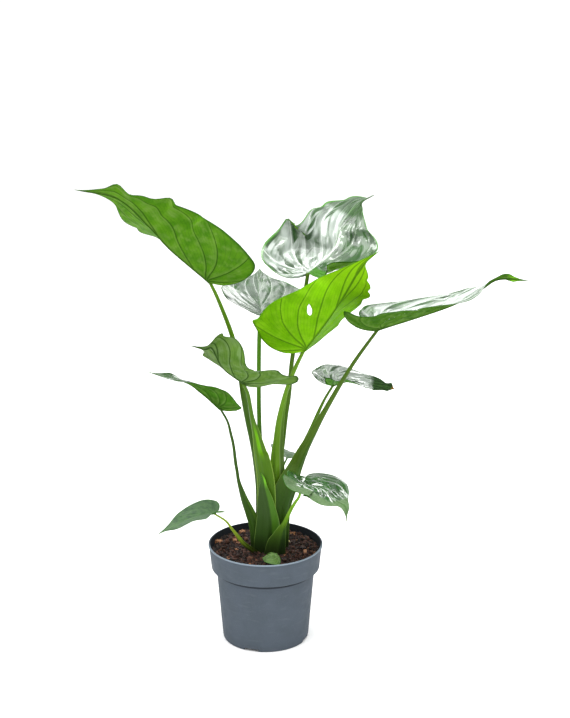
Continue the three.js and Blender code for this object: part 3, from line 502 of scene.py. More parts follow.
@dataclass(frozen=True)
class WaxedFace:
    """The upper face of a blade: leaf tissue grown under a smooth wax cuticle,
    which throws back the lights in hard white patches between dark hollows,
    with a painted silvery reflection and painted highlights on the veins' crests
    added to its colour.

    Lengths are in mm, and what starts somewhere starts at a share of the
    blade's length, or of the way from the midrib to the rim.

    Attributes:
        green: The tissue's brighter green.
        deep: Its darker green, in clouds as wide as the grain.
        vein: The colour of the veins and of the midrib.
        edge: The colour of the rim and of a lobe that has lost its wax.
        edge_from: Where the rim starts.
        painted_silver: The colour of the painted reflection laid over the tissue.
        painted_crest: The colour of the painted highlight on the raised side of a vein.
        painted_silver_left: How dense the painted reflection is on the left half.
        painted_silver_right: How dense it is on the right half.
        hollows: How fully the painted reflection and the wax are left out in the dark hollows
            beside the veins.
        streaks: How much the folds thin the painted reflection.
        matt: The colour where the wax has worn off.
        grain: How wide the clouds of green are.
        roughness: The roughness under the wax.
        coat: The weight of the wax.
        shine: The specular level under the wax.
        wrinkle: The depth of the puckers.
        pleat: The depth of the folds that follow the veins.
        dull_from: Where the worn tip starts.
        dull_edge: Where the worn rim starts.
        dull_left: How much of that wear the left half has.
        dull_lobe: How worn the right lobe is.
        lobe_to: How far in front of the stalk that wear ends.
        dull_shine: How much wax is left where it is worn.
        tip: The colour of the drip tip.
        tip_from: Where the drip tip starts.
        lee: Where a hollow starts, is full, thins out and ends, as shares of the
            way from one vein to the next.
        vein_root: Half the width of a vein at the midrib.
        vein_end: Half the width of a vein at the rim.
        pucker: How wide the puckers are.
        pore: How wide the pores are; real ones would be too fine to show.
        folds_a_vein: How many folds lie between two veins.
        folds_across: How many folds lie between the midrib and the rim.
        fold_drift: The distance over which the folds change.
        panes_across: How often the hollows change from the midrib to the rim.
    """

    green: str = "#28501a"
    deep: str = "#143010"
    vein: str = "#4a7434"
    edge: str = "#2f6a12"
    edge_from: float = 0.95
    painted_silver: str = "#98a29a"
    painted_crest: str = "#e4ebe4"
    painted_silver_left: float = 0.0
    painted_silver_right: float = 0.0
    hollows: float = 0.0
    streaks: float = 0.4
    matt: str = "#3a5a34"
    grain: float = 26.0
    roughness: float = 0.2
    coat: float = 1.0
    shine: float = 0.15
    wrinkle: float = 0.55
    pleat: float = 0.5
    dull_from: float = 2.0
    dull_edge: float = 2.0
    dull_left: float = 1.0
    dull_lobe: float = 0.0
    lobe_to: float = 0.0
    dull_shine: float = 0.2
    tip: str = "#5f9a20"
    tip_from: float = 2.0
    lee: tuple[float, ...] = (0.04, 0.14, 0.35, 0.62)
    vein_root: float = 1.1
    vein_end: float = 0.4
    pucker: float = 5.5
    pore: float = 0.7
    folds_a_vein: float = 3.0
    folds_across: float = 2.5
    fold_drift: float = 50.0
    panes_across: float = 6.0

    def material(self, name: str) -> bpy.types.Material:
        """Builds the finish.

        Args:
            name: The material's name.

        Returns:
            The material.
        """
        s = Surface(name)
        lamina, place = s.read("lamina")
        _, vein = s.read("veins")

        # The wax has worn off at the tip, along the rim and on the right lobe
        dull_tip = s.add("MapRange", (place[2], self.dull_from, self.dull_from + 0.1), **SMOOTH)
        by_rim = s.add("MapRange", (vein[2], self.dull_edge, self.dull_edge + 0.2), **SMOOTH)
        each_half = s.add("MapRange", (
            place[1], -MIDRIB_BLUR, MIDRIB_BLUR, 1.0, self.dull_left
        ), **SMOOTH)
        dull_rim = s.add("Math", (by_rim, each_half), operation="MULTIPLY")
        on_lobe = s.add("MapRange", (
            place[0], self.lobe_to - 8.0, self.lobe_to, self.dull_lobe, 0.0
        ), **SMOOTH)
        on_right = s.add("MapRange", (place[1], -MIDRIB_BLUR, MIDRIB_BLUR, 1.0, 0.0), **SMOOTH)
        dull_lobe = s.add("Math", (on_lobe, on_right), operation="MULTIPLY")
        dull = s.add("Math", (dull_tip, dull_rim), operation="MAXIMUM")
        dull = s.add("Math", (dull, dull_lobe), operation="MAXIMUM")
        waxed = s.add("MapRange", (dull, 0.0, 1.0, 1.0, self.dull_shine), **SMOOTH)

        # The side veins and the midrib are thin pale lines
        off_vein = s.add("Math", (vein[0], 0.5), operation="PINGPONG")
        off_vein = s.add("Math", (off_vein, vein[1]), operation="MULTIPLY")
        from_vein = s.add("Math", (vein[0],), operation="FRACT")
        wide = s.add("MapRange", (vein[2], 0.0, 1.0, self.vein_root, self.vein_end), **SMOOTH)
        on_vein = s.add("MapRange", (off_vein, 0.0, wide, 1.0, 0.0), **SMOOTH)
        from_rib = s.add("Math", (place[1],), operation="ABSOLUTE")
        on_rib = s.add("MapRange", (from_rib, 0.4, 1.8, 1.0, 0.0), **SMOOTH)
        lines = s.add("Math", (on_vein, on_rib), operation="MAXIMUM")

        # The tissue shows two greens in clouds, with a finer mottling
        clouds = s.add("TexNoise", {"Vector": lamina, "Scale": 1 / self.grain, "Detail": 3.0})
        cloudy = s.add("MapRange", (clouds, NOISE_LOW, NOISE_HIGH), **SMOOTH)
        mottling = s.add("TexNoise", {"Vector": lamina, "Scale": 1 / 3.0, "Detail": 3.0})
        fleck = s.add("MapRange", (mottling, NOISE_LOW, NOISE_HIGH, 0.0, 0.35), **SMOOTH)

        # Folds run along the veins and thin the painted reflection
        fan = s.add("CombineXYZ", (
            s.add("Math", (vein[0], self.folds_a_vein), operation="MULTIPLY"),
            s.add("Math", (vein[2], self.folds_across), operation="MULTIPLY"),
            s.add("Math", (place[1], 1 / self.fold_drift), operation="MULTIPLY"),
        ))
        folds = s.add("TexNoise", {"Vector": fan, "Scale": 1.0, "Detail": 2.0})

        # Some panels between the veins have a dark hollow on one side, where the painted
        # reflection and the wax are left out
        pane = s.add("Math", (vein[0], 0.5), operation="SUBTRACT")
        pane = s.add("Math", (pane,), operation="ROUND")
        side = s.add("Math", (place[1],), operation="SIGN")
        panes = s.add("CombineXYZ", (
            s.add("Math", (pane, PANE_SHIFT), operation="MULTIPLY"),
            s.add("Math", (vein[2], self.panes_across), operation="MULTIPLY"),
            s.add("Math", (side, HALF_SHIFT), operation="MULTIPLY"),
        ))
        starting = s.add("MapRange", (from_vein, self.lee[0], self.lee[1]), **SMOOTH)
        ending = s.add("MapRange", (from_vein, self.lee[2], self.lee[3], 1.0, 0.0), **SMOOTH)
        lee = s.add("Math", (starting, ending), operation="MULTIPLY")
        chance = s.add("TexNoise", {"Vector": panes, "Scale": 1.0, "Detail": 1.0})
        patches = s.add("MapRange", (chance, 0.44, 0.49), **SMOOTH)
        off_rib = s.add("MapRange", (vein[2], 0.1, 0.3, 0.0, self.hollows), **SMOOTH)
        hollow = s.add("Math", (lee, patches), operation="MULTIPLY")
        hollow = s.add("Math", (hollow, off_rib), operation="MULTIPLY")
        open_face = s.add("Math", (1.0, hollow), operation="SUBTRACT")

        # A painted reflection lies over the tissue as a silvery film, with a painted highlight on
        # the raised side of a vein
        half = s.add("MapRange", (
            place[1], -MIDRIB_BLUR, MIDRIB_BLUR, self.painted_silver_right, self.painted_silver_left
        ), **SMOOTH)
        streaky = s.add("MapRange", (folds, 0.36, 0.56, 1.0 - self.streaks), **SMOOTH)
        painted_film = s.add("Math", (half, open_face), operation="MULTIPLY")
        painted_film = s.add("Math", (painted_film, streaky), operation="MULTIPLY")
        ridge = s.add("MapRange", (from_vein, 0.93, 1.0, 0.0, half), **SMOOTH)
        on_edge = s.add("MapRange", (vein[2], self.edge_from, self.edge_from + 0.05), **SMOOTH)
        on_tip = s.add("MapRange", (place[2], self.tip_from, self.tip_from + 0.05), **SMOOTH)

        # The tissue, matt where the wax is gone, lies under all the rest, with the painted
        # reflection and highlight on top
        fresh = s.add("Mix", {
            0: cloudy, 6: linear(self.deep), 7: linear(self.green)
        }, 2, data_type="RGBA")
        colour = s.add("Mix", {0: waxed, 6: linear(self.matt), 7: fresh}, 2, data_type="RGBA")
        for share, shade in (
            (dull_lobe, self.edge),
            (fleck, self.green),
            (s.add("Math", (lines, 0.5), operation="MULTIPLY"), self.vein),
            (s.add("Math", (waxed, painted_film), operation="MULTIPLY"), self.painted_silver),
            (s.add("Math", (waxed, ridge), operation="MULTIPLY"), self.painted_crest),
            (on_edge, self.edge),
            (on_tip, self.tip),
        ):
            colour = s.add("Mix", {0: share, 6: colour, 7: linear(shade)}, 2, data_type="RGBA")

        # The relief breaks the wax's hard highlights up, from coarse to fine
        waxed = s.add("Math", (waxed, open_face), operation="MULTIPLY")
        puckers = s.add("TexNoise", {"Vector": lamina, "Scale": 1 / self.pucker, "Detail": 2.0})
        normal = s.add("Bump", {"Height": puckers, "Distance": self.wrinkle * MM})
        normal = s.add("Bump", {"Height": folds, "Distance": self.pleat * MM, "Normal": normal})
        normal = s.add("Bump", {
            "Height": s.add("MapRange", (lines, 0.0, 1.0, 1.0, 0.0), **SMOOTH),
            "Distance": 0.3 * MM,
            "Normal": normal,
        })
        pores = s.add("TexNoise", {"Vector": lamina, "Scale": 1 / self.pore, "Detail": 2.0})
        normal = s.add("Bump", {"Height": pores, "Distance": 0.015 * MM, "Normal": normal})
        wear = s.add("TexNoise", {"Vector": lamina, "Scale": 1 / 9.0, "Detail": 3.0})
        smooth = s.add("MapRange", (
            wear, 0.3, 0.7, self.roughness, self.roughness + 0.1
        ), **SMOOTH)
        return s.close({
            "Base Color": colour,
            "Roughness": s.add("MapRange", (dull, 0.0, 1.0, smooth, 0.75), **SMOOTH),
            "IOR": 1.55,
            "Specular IOR Level": self.shine,
            "Coat Weight": s.add("Math", (waxed, self.coat), operation="MULTIPLY"),
            "Coat IOR": 1.8,
            "Coat Roughness": 0.12,
            "Normal": normal,
        })


@dataclass(frozen=True)
class BareFace:
    """The under face of a blade: soft leaf tissue that grows no wax, shines
    dully, lets some light through and shows its veins as fine raised lines.
    Its colour holds a painted highlight on each vein's lit flank, a painted
    sheen in clouds and near the midrib, and a painted shade along the rim.

    Lengths are in mm, and what starts somewhere starts at a share of the
    blade's length.

    Attributes:
        green: The tissue's brighter green.
        deep: Its darker green.
        pale: The colour of the painted sheen in clouds and near the midrib, and of the painted
            highlight on the lit flank of a vein.
        vein: The colour of the veins.
        edge: The colour of the painted shade along the rim.
        roughness: How dull the face is.
        glow: The colour of the light that passes through.
        through: How much light passes through.
        flank: How strong the painted highlight on a vein's lit flank and the painted sheen near
            the midrib are.
        tip: The colour of the drip tip.
        tip_from: Where the drip tip starts.
        tip_fade: Over which share it fades in.
        vein_root: Half the width of a vein at the midrib.
        vein_end: Half the width of a vein at the rim.
        fine_veins: How many fine veins run from one vein to the next.
        cloud: How wide the clouds of painted sheen are.
        mottle: How wide the mottling is.
    """

    green: str = "#4f8a24"
    deep: str = "#3c701c"
    pale: str = "#7f9f50"
    vein: str = "#2c5212"
    edge: str = "#2f5c12"
    roughness: float = 0.45
    glow: str = "#7fae1e"
    through: float = 0.2
    flank: float = 0.22
    tip: str = "#5f9a20"
    tip_from: float = 2.0
    tip_fade: float = 0.05
    vein_root: float = 2.4
    vein_end: float = 1.1
    fine_veins: float = 6.0
    cloud: float = 15.0
    mottle: float = 2.4

    def material(self, name: str) -> bpy.types.Material:
        """Builds the finish.

        Args:
            name: The material's name.

        Returns:
            The material.
        """
        s = Surface(name)
        lamina, place = s.read("lamina")
        _, vein = s.read("veins")

        # The raised veins are dark lines, each with a painted highlight on its lit flank, fine
        # ones between, and a painted sheen pales the face near the midrib
        side = s.add("Math", (vein[0], 0.5, -0.5), operation="WRAP")
        off_vein = s.add("Math", (side, vein[1]), operation="MULTIPLY")
        wide = s.add("MapRange", (vein[2], 0.0, 1.0, self.vein_root, self.vein_end), **SMOOTH)
        from_vein = s.add("Math", (off_vein,), operation="ABSOLUTE")
        on_vein = s.add("MapRange", (from_vein, 0.0, wide, 1.0, 0.0), **SMOOTH)
        rising = s.add("MapRange", (off_vein, 0.4, 1.4), **SMOOTH)
        falling = s.add("MapRange", (off_vein, 1.6, 7.0, 1.0, 0.0), **SMOOTH)
        flank = s.add("Math", (rising, falling), operation="MULTIPLY")
        fine = s.add("Math", (vein[0], self.fine_veins), operation="MULTIPLY")
        fine = s.add("Math", (fine, 0.5), operation="PINGPONG")
        on_fine = s.add("MapRange", (fine, 0.0, 0.2, 0.22, 0.0), **SMOOTH)
        from_rib = s.add("Math", (place[1],), operation="ABSOLUTE")
        on_rib = s.add("MapRange", (from_rib, 0.6, 2.8, 1.0, 0.0), **SMOOTH)
        rib_sheen = s.add("MapRange", (from_rib, 2.0, 9.0, 0.8, 0.0), **SMOOTH)

        # The tissue shows two greens in clouds and a mottling, with clouds of painted sheen over
        # them
        clouds = s.add("TexNoise", {"Vector": lamina, "Scale": 1 / 24.0, "Detail": 3.0})
        deep_to_green = s.add("MapRange", (clouds, NOISE_LOW, NOISE_HIGH), **SMOOTH)
        sheen_clouds = s.add("TexNoise", {
            "Vector": lamina, "Scale": 1 / self.cloud, "Detail": 2.0
        })
        cloudy = s.add("MapRange", (sheen_clouds, 0.45, 0.75, 0.0, 0.4), **SMOOTH)
        mottling = s.add("TexNoise", {"Vector": lamina, "Scale": 1 / self.mottle, "Detail": 3.0})
        fleck = s.add("MapRange", (mottling, 0.3, 0.7, 0.0, 0.3), **SMOOTH)
        on_tip = s.add("MapRange", (
            place[2], self.tip_from, self.tip_from + self.tip_fade
        ), **SMOOTH)
        # The painted highlight on the veins' lit flanks and the painted sheen near the midrib
        sheen_and_highlight = s.add("Math", (flank, rib_sheen), operation="MAXIMUM")
        sheen_and_highlight = s.add("Math", (sheen_and_highlight, self.flank), operation="MULTIPLY")
        lines = s.add("Math", (on_vein, on_rib), operation="MAXIMUM")
        # A painted shade darkens the rim
        on_edge = s.add("MapRange", (vein[2], 0.94, 1.0), **SMOOTH)
        colour = linear(self.deep)
        for share, shade in (
            (deep_to_green, self.green),
            (cloudy, self.pale),
            (fleck, self.green),
            (on_tip, self.tip),
            (on_fine, self.vein),
            (sheen_and_highlight, self.pale),
            (s.add("Math", (lines, 0.85), operation="MULTIPLY"), self.vein),
            (on_edge, self.edge),
        ):
            colour = s.add("Mix", {0: share, 6: colour, 7: linear(shade)}, 2, data_type="RGBA")

        # Puckers and veins stand out of the face, and so do pores, drawn wider than
        # real ones so that they show
        puckers = s.add("TexNoise", {"Vector": lamina, "Scale": 1 / 6.0, "Detail": 2.0})
        normal = s.add("Bump", {"Height": puckers, "Distance": 0.3 * MM})
        normal = s.add("Bump", {
            "Height": s.add("Math", (lines, on_fine), operation="MAXIMUM"),
            "Distance": 0.3 * MM,
            "Normal": normal,
        })
        pores = s.add("TexNoise", {"Vector": lamina, "Scale": 1 / 0.6, "Detail": 2.0})
        normal = s.add("Bump", {"Height": pores, "Distance": 0.02 * MM, "Normal": normal})
        glow = s.add("Mix", {0: 0.5, 6: colour, 7: linear(self.glow)}, 2, data_type="RGBA")
        return s.close({
            "Base Color": colour,
            "Roughness": self.roughness,
            "IOR": 1.42,
            "Specular IOR Level": 0.015,
            "Normal": normal,
        }, glow, self.through)


@dataclass(frozen=True)
class StalkSkin:
    """The skin of a stalk: firm smooth plant tissue that has grown in ribs along
    the stalk, with a thin pale edge on its sheath, a satin shine and a painted
    shade at its foot by the soil.

    Heights are in mm over the ground, and places across the sheath run from -1
    at its left edge to 1 at its right edge.

    Attributes:
        core: The tissue's brighter green.
        dark: Its darker green.
        wing: The colour of the sheath's thin wing.
        edge: The colour of the sheath's thin edge.
        low: The colour of the lower part.
        foot: The colour at the soil, where little light comes.
        wing_from: Where across the sheath the wing starts.
        wing_to: Where it ends.
        wing_low: The height at which the wing's colour starts.
        low_top: The height at which the lower part ends.
        low_fade: How far below that its colour is full.
        rim: How wide the thin edge is.
        seam: How pale the line between core and wing is.
        roughness: How dull the skin is.
        rib: How wide the ribs are, in mm.
        stretch: How little a rib changes along the stalk.
        foot_shade_full: The height up to which the painted shade at the foot is full.
        foot_shade_top: The height at which it ends.
    """

    core: str = "#4d7f1c"
    dark: str = "#2f5f16"
    wing: str = "#3c7020"
    edge: str = "#86a84c"
    low: str = "#2f5a24"
    foot: str = "#141a0c"
    wing_from: float = 0.35
    wing_to: float = 2.0
    wing_low: float = 0.0
    low_top: float = 215.0
    low_fade: float = 65.0
    rim: float = 0.05
    seam: float = 0.0
    roughness: float = 0.36
    rib: float = 2.2
    stretch: float = 0.05
    foot_shade_full: float = 154.0
    foot_shade_top: float = 190.0

    def material(self, name: str) -> bpy.types.Material:
        """Builds the finish.

        Args:
            name: The material's name.

        Returns:
            The material.
        """
        s = Surface(name)
        stem, _ = s.read("stem")
        _, state = s.read("sheath")

        # Ribs run along the stalk in two greens
        stretched = s.add("Mapping", {"Vector": stem, "Scale": (self.stretch, 1.0, 1.0)})
        ribs = s.add("TexNoise", {"Vector": stretched, "Scale": 1 / self.rib, "Detail": 3.0})

        # The sheath's wing has a green of its own, the lower part turns darker towards the bottom
        # and a painted shade darkens the foot
        near = s.add("MapRange", (
            state[0], self.wing_to - 0.08, self.wing_to + 0.08, 1.0, 0.0
        ), **SMOOTH)
        far = s.add("MapRange", (
            state[0], self.wing_from - 0.12, self.wing_from + 0.12
        ), **SMOOTH)
        side = s.add("Math", (near, far), operation="MULTIPLY")
        high = s.add("MapRange", (state[2], self.wing_low - 40.0, self.wing_low), **SMOOTH)
        on_wing = s.add("Math", (state[1], high), operation="MULTIPLY")
        on_wing = s.add("Math", (side, on_wing), operation="MULTIPLY")
        lowered = s.add("MapRange", (
            state[2], self.low_top - self.low_fade, self.low_top, 0.8, 0.0
        ), **SMOOTH)

        # A thin pale edge closes the sheath on both sides
        off_middle = s.add("Math", (state[0],), operation="ABSOLUTE")
        rim = s.add("MapRange", (off_middle, 1.0 - self.rim, 1.0 - self.rim / 5), **SMOOTH)
        off_seam = s.add("Math", (state[0], self.wing_from), operation="SUBTRACT")
        off_seam = s.add("Math", (off_seam,), operation="ABSOLUTE")
        seam = s.add("MapRange", (off_seam, 0.04, 0.16, self.seam, 0.0), **SMOOTH)
        rim = s.add("Math", (rim, seam), operation="MAXIMUM")
        on_edge = s.add("Math", (state[1], 0.6), operation="MULTIPLY")
        on_edge = s.add("Math", (rim, on_edge), operation="MULTIPLY")
        # Painted shade at the foot, where the stalk meets the soil
        foot_shading = s.add("MapRange", (
            state[2], self.foot_shade_full, self.foot_shade_top, 0.75, 0.0
        ), **SMOOTH)
        colour = linear(self.dark)
        for share, shade in (
            (ribs, self.core),
            (on_wing, self.wing),
            (lowered, self.low),
            (on_edge, self.edge),
            (foot_shading, self.foot),
        ):
            colour = s.add("Mix", {0: share, 6: colour, 7: linear(shade)}, 2, data_type="RGBA")

        # Furrows and pores, drawn wide enough to show, break the satin shine up
        furrows = s.add("TexNoise", {"Vector": stretched, "Scale": 1 / 1.4, "Detail": 2.0})
        normal = s.add("Bump", {"Height": furrows, "Distance": 0.35 * MM})
        pores = s.add("TexNoise", {"Vector": stem, "Scale": 1 / 0.8, "Detail": 2.0})
        normal = s.add("Bump", {"Height": pores, "Distance": 0.03 * MM, "Normal": normal})
        return s.close({
            "Base Color": colour,
            "Roughness": self.roughness,
            "IOR": 1.42,
            "Specular IOR Level": 0.15,
            "Normal": normal,
        })


@dataclass(frozen=True)
class MouldedPolypropylene:
    """Injection-moulded polypropylene with grey pigment: matte, finely grained
    by the mould, a little blotched and scuffed, with pale dust on it, painted
    shade on its inside, a painted shadow under the collar and a painted
    highlight along the near side of the lip.

    Attributes:
        grey: The pigment's grey.
        deep: Its darker blotches.
        scuff: The colour of the scuffs.
        dust: The colour of the dust.
        lip: The colour of the painted highlight on the lip's near side.
        painted_shade: The colour of the painted shade inside and of the painted shadow under the
            collar.
        roughness: How dull the plastic is.
        blotch: How wide the blotches are, in mm.
        speck: How wide the scuffs are, in mm.
        streak: How long the streaks of dust are, in mm.
        flow: How many times shorter they are upwards.
        collar_foot: The height of the collar's foot, in mm.
        collar_foot_radius: The collar's radius there, in mm.
        collar_slope: How fast that radius grows upwards.
        skin: How far inside the collar's outer face the painted shade starts and is full.
        highlight_from: The height at which the painted highlight on the lip starts, in mm.
        highlight_to: The height at which it is full.
        collar_shadow_height: The height of the painted shadow under the collar.
    """

    grey: str = "#4c545d"
    deep: str = "#495159"
    scuff: str = "#58606a"
    dust: str = "#5e656c"
    lip: str = "#7e8a96"
    painted_shade: str = "#101012"
    roughness: float = 0.6
    blotch: float = 30.0
    speck: float = 1.6
    streak: float = 26.0
    flow: float = 5.0
    collar_foot: float = 125.0
    collar_foot_radius: float = 90.0
    collar_slope: float = 0.094
    skin: tuple[float, float] = (0.9, 1.5)
    highlight_from: float = 163.6
    highlight_to: float = 164.6
    collar_shadow_height: float = 120.4

    def material(self, name: str) -> bpy.types.Material:
        """Builds the finish.

        Args:
            name: The material's name.

        Returns:
            The material.
        """
        s = Surface(name)
        source = s.add("TexCoord", output="Object")
        place = s.add("Mapping", {"Vector": source, "Scale": PER_METRE})
        flow = s.add("Mapping", {"Vector": place, "Scale": (1.0, 1.0, self.flow)})

        # Blotches, scuffs and streaks of dust lie on the grey
        blotches = s.add("TexNoise", {"Vector": place, "Scale": 1 / self.blotch, "Detail": 3.0})
        blotchy = s.add("MapRange", (blotches, NOISE_LOW, NOISE_HIGH), **SMOOTH)
        scuffs = s.add("TexNoise", {"Vector": place, "Scale": 1 / self.speck, "Detail": 2.0})
        speck = s.add("MapRange", (scuffs, 0.55, 0.75, 0.0, 0.35), **SMOOTH)
        drifts = s.add("TexNoise", {"Vector": flow, "Scale": 1 / self.streak, "Detail": 3.0})
        streak = s.add("MapRange", (drifts, 0.55, 0.75, 0.0, 0.25), **SMOOTH)

        # Painted shade darkens the inside, a painted highlight pales the near side of the lip and
        # a painted shadow lies under the collar
        parts = s.add("SeparateXYZ", (place,)).node.outputs
        right = s.add("Math", (parts[0], 2.0), operation="POWER")
        back = s.add("Math", (parts[1], 2.0), operation="POWER")
        radius = s.add("Math", (right, back), operation="ADD")
        radius = s.add("Math", (radius,), operation="SQRT")
        over_foot = s.add("Math", (parts[2], self.collar_foot), operation="SUBTRACT")
        outer = s.add("Math", (
            over_foot, self.collar_slope, self.collar_foot_radius
        ), operation="MULTIPLY_ADD")
        off_wall = s.add("Math", (radius, outer), operation="SUBTRACT")
        # Painted shade on the inner wall above the collar's foot
        inside = s.add("MapRange", (
            off_wall, -self.skin[1], -self.skin[0], 1.0, 0.0
        ), **SMOOTH)
        shade_above_foot = s.add("MapRange", (
            parts[2], self.collar_foot - 1.0, self.collar_foot + 3.0, 0.0, 0.8
        ), **SMOOTH)
        inner_shade = s.add("Math", (inside, shade_above_foot), operation="MULTIPLY")
        # A painted highlight along the lip, on the near side only
        near_side = s.add("MapRange", (parts[1], -25.0, 5.0, 1.0, 0.0), **SMOOTH)
        lip_highlight = s.add("MapRange", (parts[2], self.highlight_from, self.highlight_to), **SMOOTH)
        lip_highlight = s.add("Math", (lip_highlight, near_side), operation="MULTIPLY")
        # A painted shadow in a thin band under the collar
        off_collar_shadow = s.add("Math", (parts[2], self.collar_shadow_height), operation="SUBTRACT")
        off_collar_shadow = s.add("Math", (off_collar_shadow,), operation="ABSOLUTE")
        collar_shadow = s.add("MapRange", (off_collar_shadow, 1.2, 3.0, 0.65, 0.0), **SMOOTH)
        colour = linear(self.deep)
        for share, shade in (
            (blotchy, self.grey),
            (speck, self.scuff),
            (streak, self.dust),
            (inner_shade, self.painted_shade),
            (lip_highlight, self.lip),
            (collar_shadow, self.painted_shade),
        ):
            colour = s.add("Mix", {0: share, 6: colour, 7: linear(shade)}, 2, data_type="RGBA")

        # The mould's grain, drawn coarser than the real one so that it shows, and
        # shallow waves keep the shine soft and uneven
        mould_grain = s.add("TexNoise", {"Vector": place, "Scale": 1 / 0.5, "Detail": 2.0})
        normal = s.add("Bump", {"Height": mould_grain, "Distance": 0.06 * MM})
        waves = s.add("TexNoise", {"Vector": flow, "Scale": 1 / 9.0, "Detail": 2.0})
        normal = s.add("Bump", {"Height": waves, "Distance": 0.12 * MM, "Normal": normal})
        least, most = self.roughness - 0.05, self.roughness + 0.1
        rubbing = s.add("TexNoise", {"Vector": place, "Scale": 1 / 12.0, "Detail": 3.0})
        rough = s.add("MapRange", (rubbing, 0.3, 0.7, least, most), **SMOOTH)
        return s.close({
            "Base Color": colour,
            "Roughness": rough,
            "IOR": 1.49,
            "Specular IOR Level": 0.06,
            "Normal": normal,
        })


@dataclass(frozen=True)
class BarkAndPeat:
    """Composted bark and moist peat, chipped and sieved: dark brown matted
    crumbs, with the odd flake of orange or straw-coloured wood.

    Attributes:
        peat: The colour of the peat.
        bark: The colour of the bark.
        flake: The colour of most flakes of wood.
        straw: The colour of the palest flakes.
        grit: How wide the dark grit is, in mm.
        crumble: How wide the crumbs' own unevenness is, in mm.
    """

    peat: str = "#140b08"
    bark: str = "#5e3a2c"
    flake: str = "#b47c54"
    straw: str = "#f4e0a4"
    grit: float = 1.3
    crumble: float = 1.1

    def material(self, name: str) -> bpy.types.Material:
        """Builds the finish.

        Args:
            name: The material's name.

        Returns:
            The material.
        """
        s = Surface(name)
        _, tint = s.read("crumb")
        source = s.add("TexCoord", output="Object")
        place = s.add("Mapping", {"Vector": source, "Scale": PER_METRE})

        # The crumb's own tint picks peat, bark or wood, and grit darkens it
        grit = s.add("TexNoise", {
            "Vector": place, "Scale": 1 / self.grit, "Detail": 4.0, "Roughness": 0.65
        })
        grain = s.add("MapRange", (grit, 0.4, 0.62, 0.0, 0.8), **SMOOTH)
        colour = linear(self.peat)
        for share, shade in (
            (s.add("MapRange", (tint[0], 0.1, 0.8), **SMOOTH), self.bark),
            (s.add("MapRange", (tint[0], 0.8, 0.93), **SMOOTH), self.flake),
            (s.add("MapRange", (tint[0], 0.965, 0.985), **SMOOTH), self.straw),
            (grain, self.peat),
        ):
            colour = s.add("Mix", {0: share, 6: colour, 7: linear(shade)}, 2, data_type="RGBA")

        # Each crumb is rough, and damp in places
        crumble = s.add("TexNoise", {
            "Vector": place, "Scale": 1 / self.crumble, "Detail": 5.0, "Roughness": 0.7
        })
        normal = s.add("Bump", {"Height": crumble, "Distance": 0.9 * MM})
        damp = s.add("TexNoise", {"Vector": place, "Scale": 1 / 2.0, "Detail": 3.0})
        return s.close({
            "Base Color": colour,
            "Roughness": s.add("MapRange", (damp, NOISE_LOW, NOISE_HIGH, 0.5, 0.95), **SMOOTH),
            "IOR": 1.4,
            "Normal": normal,
        })


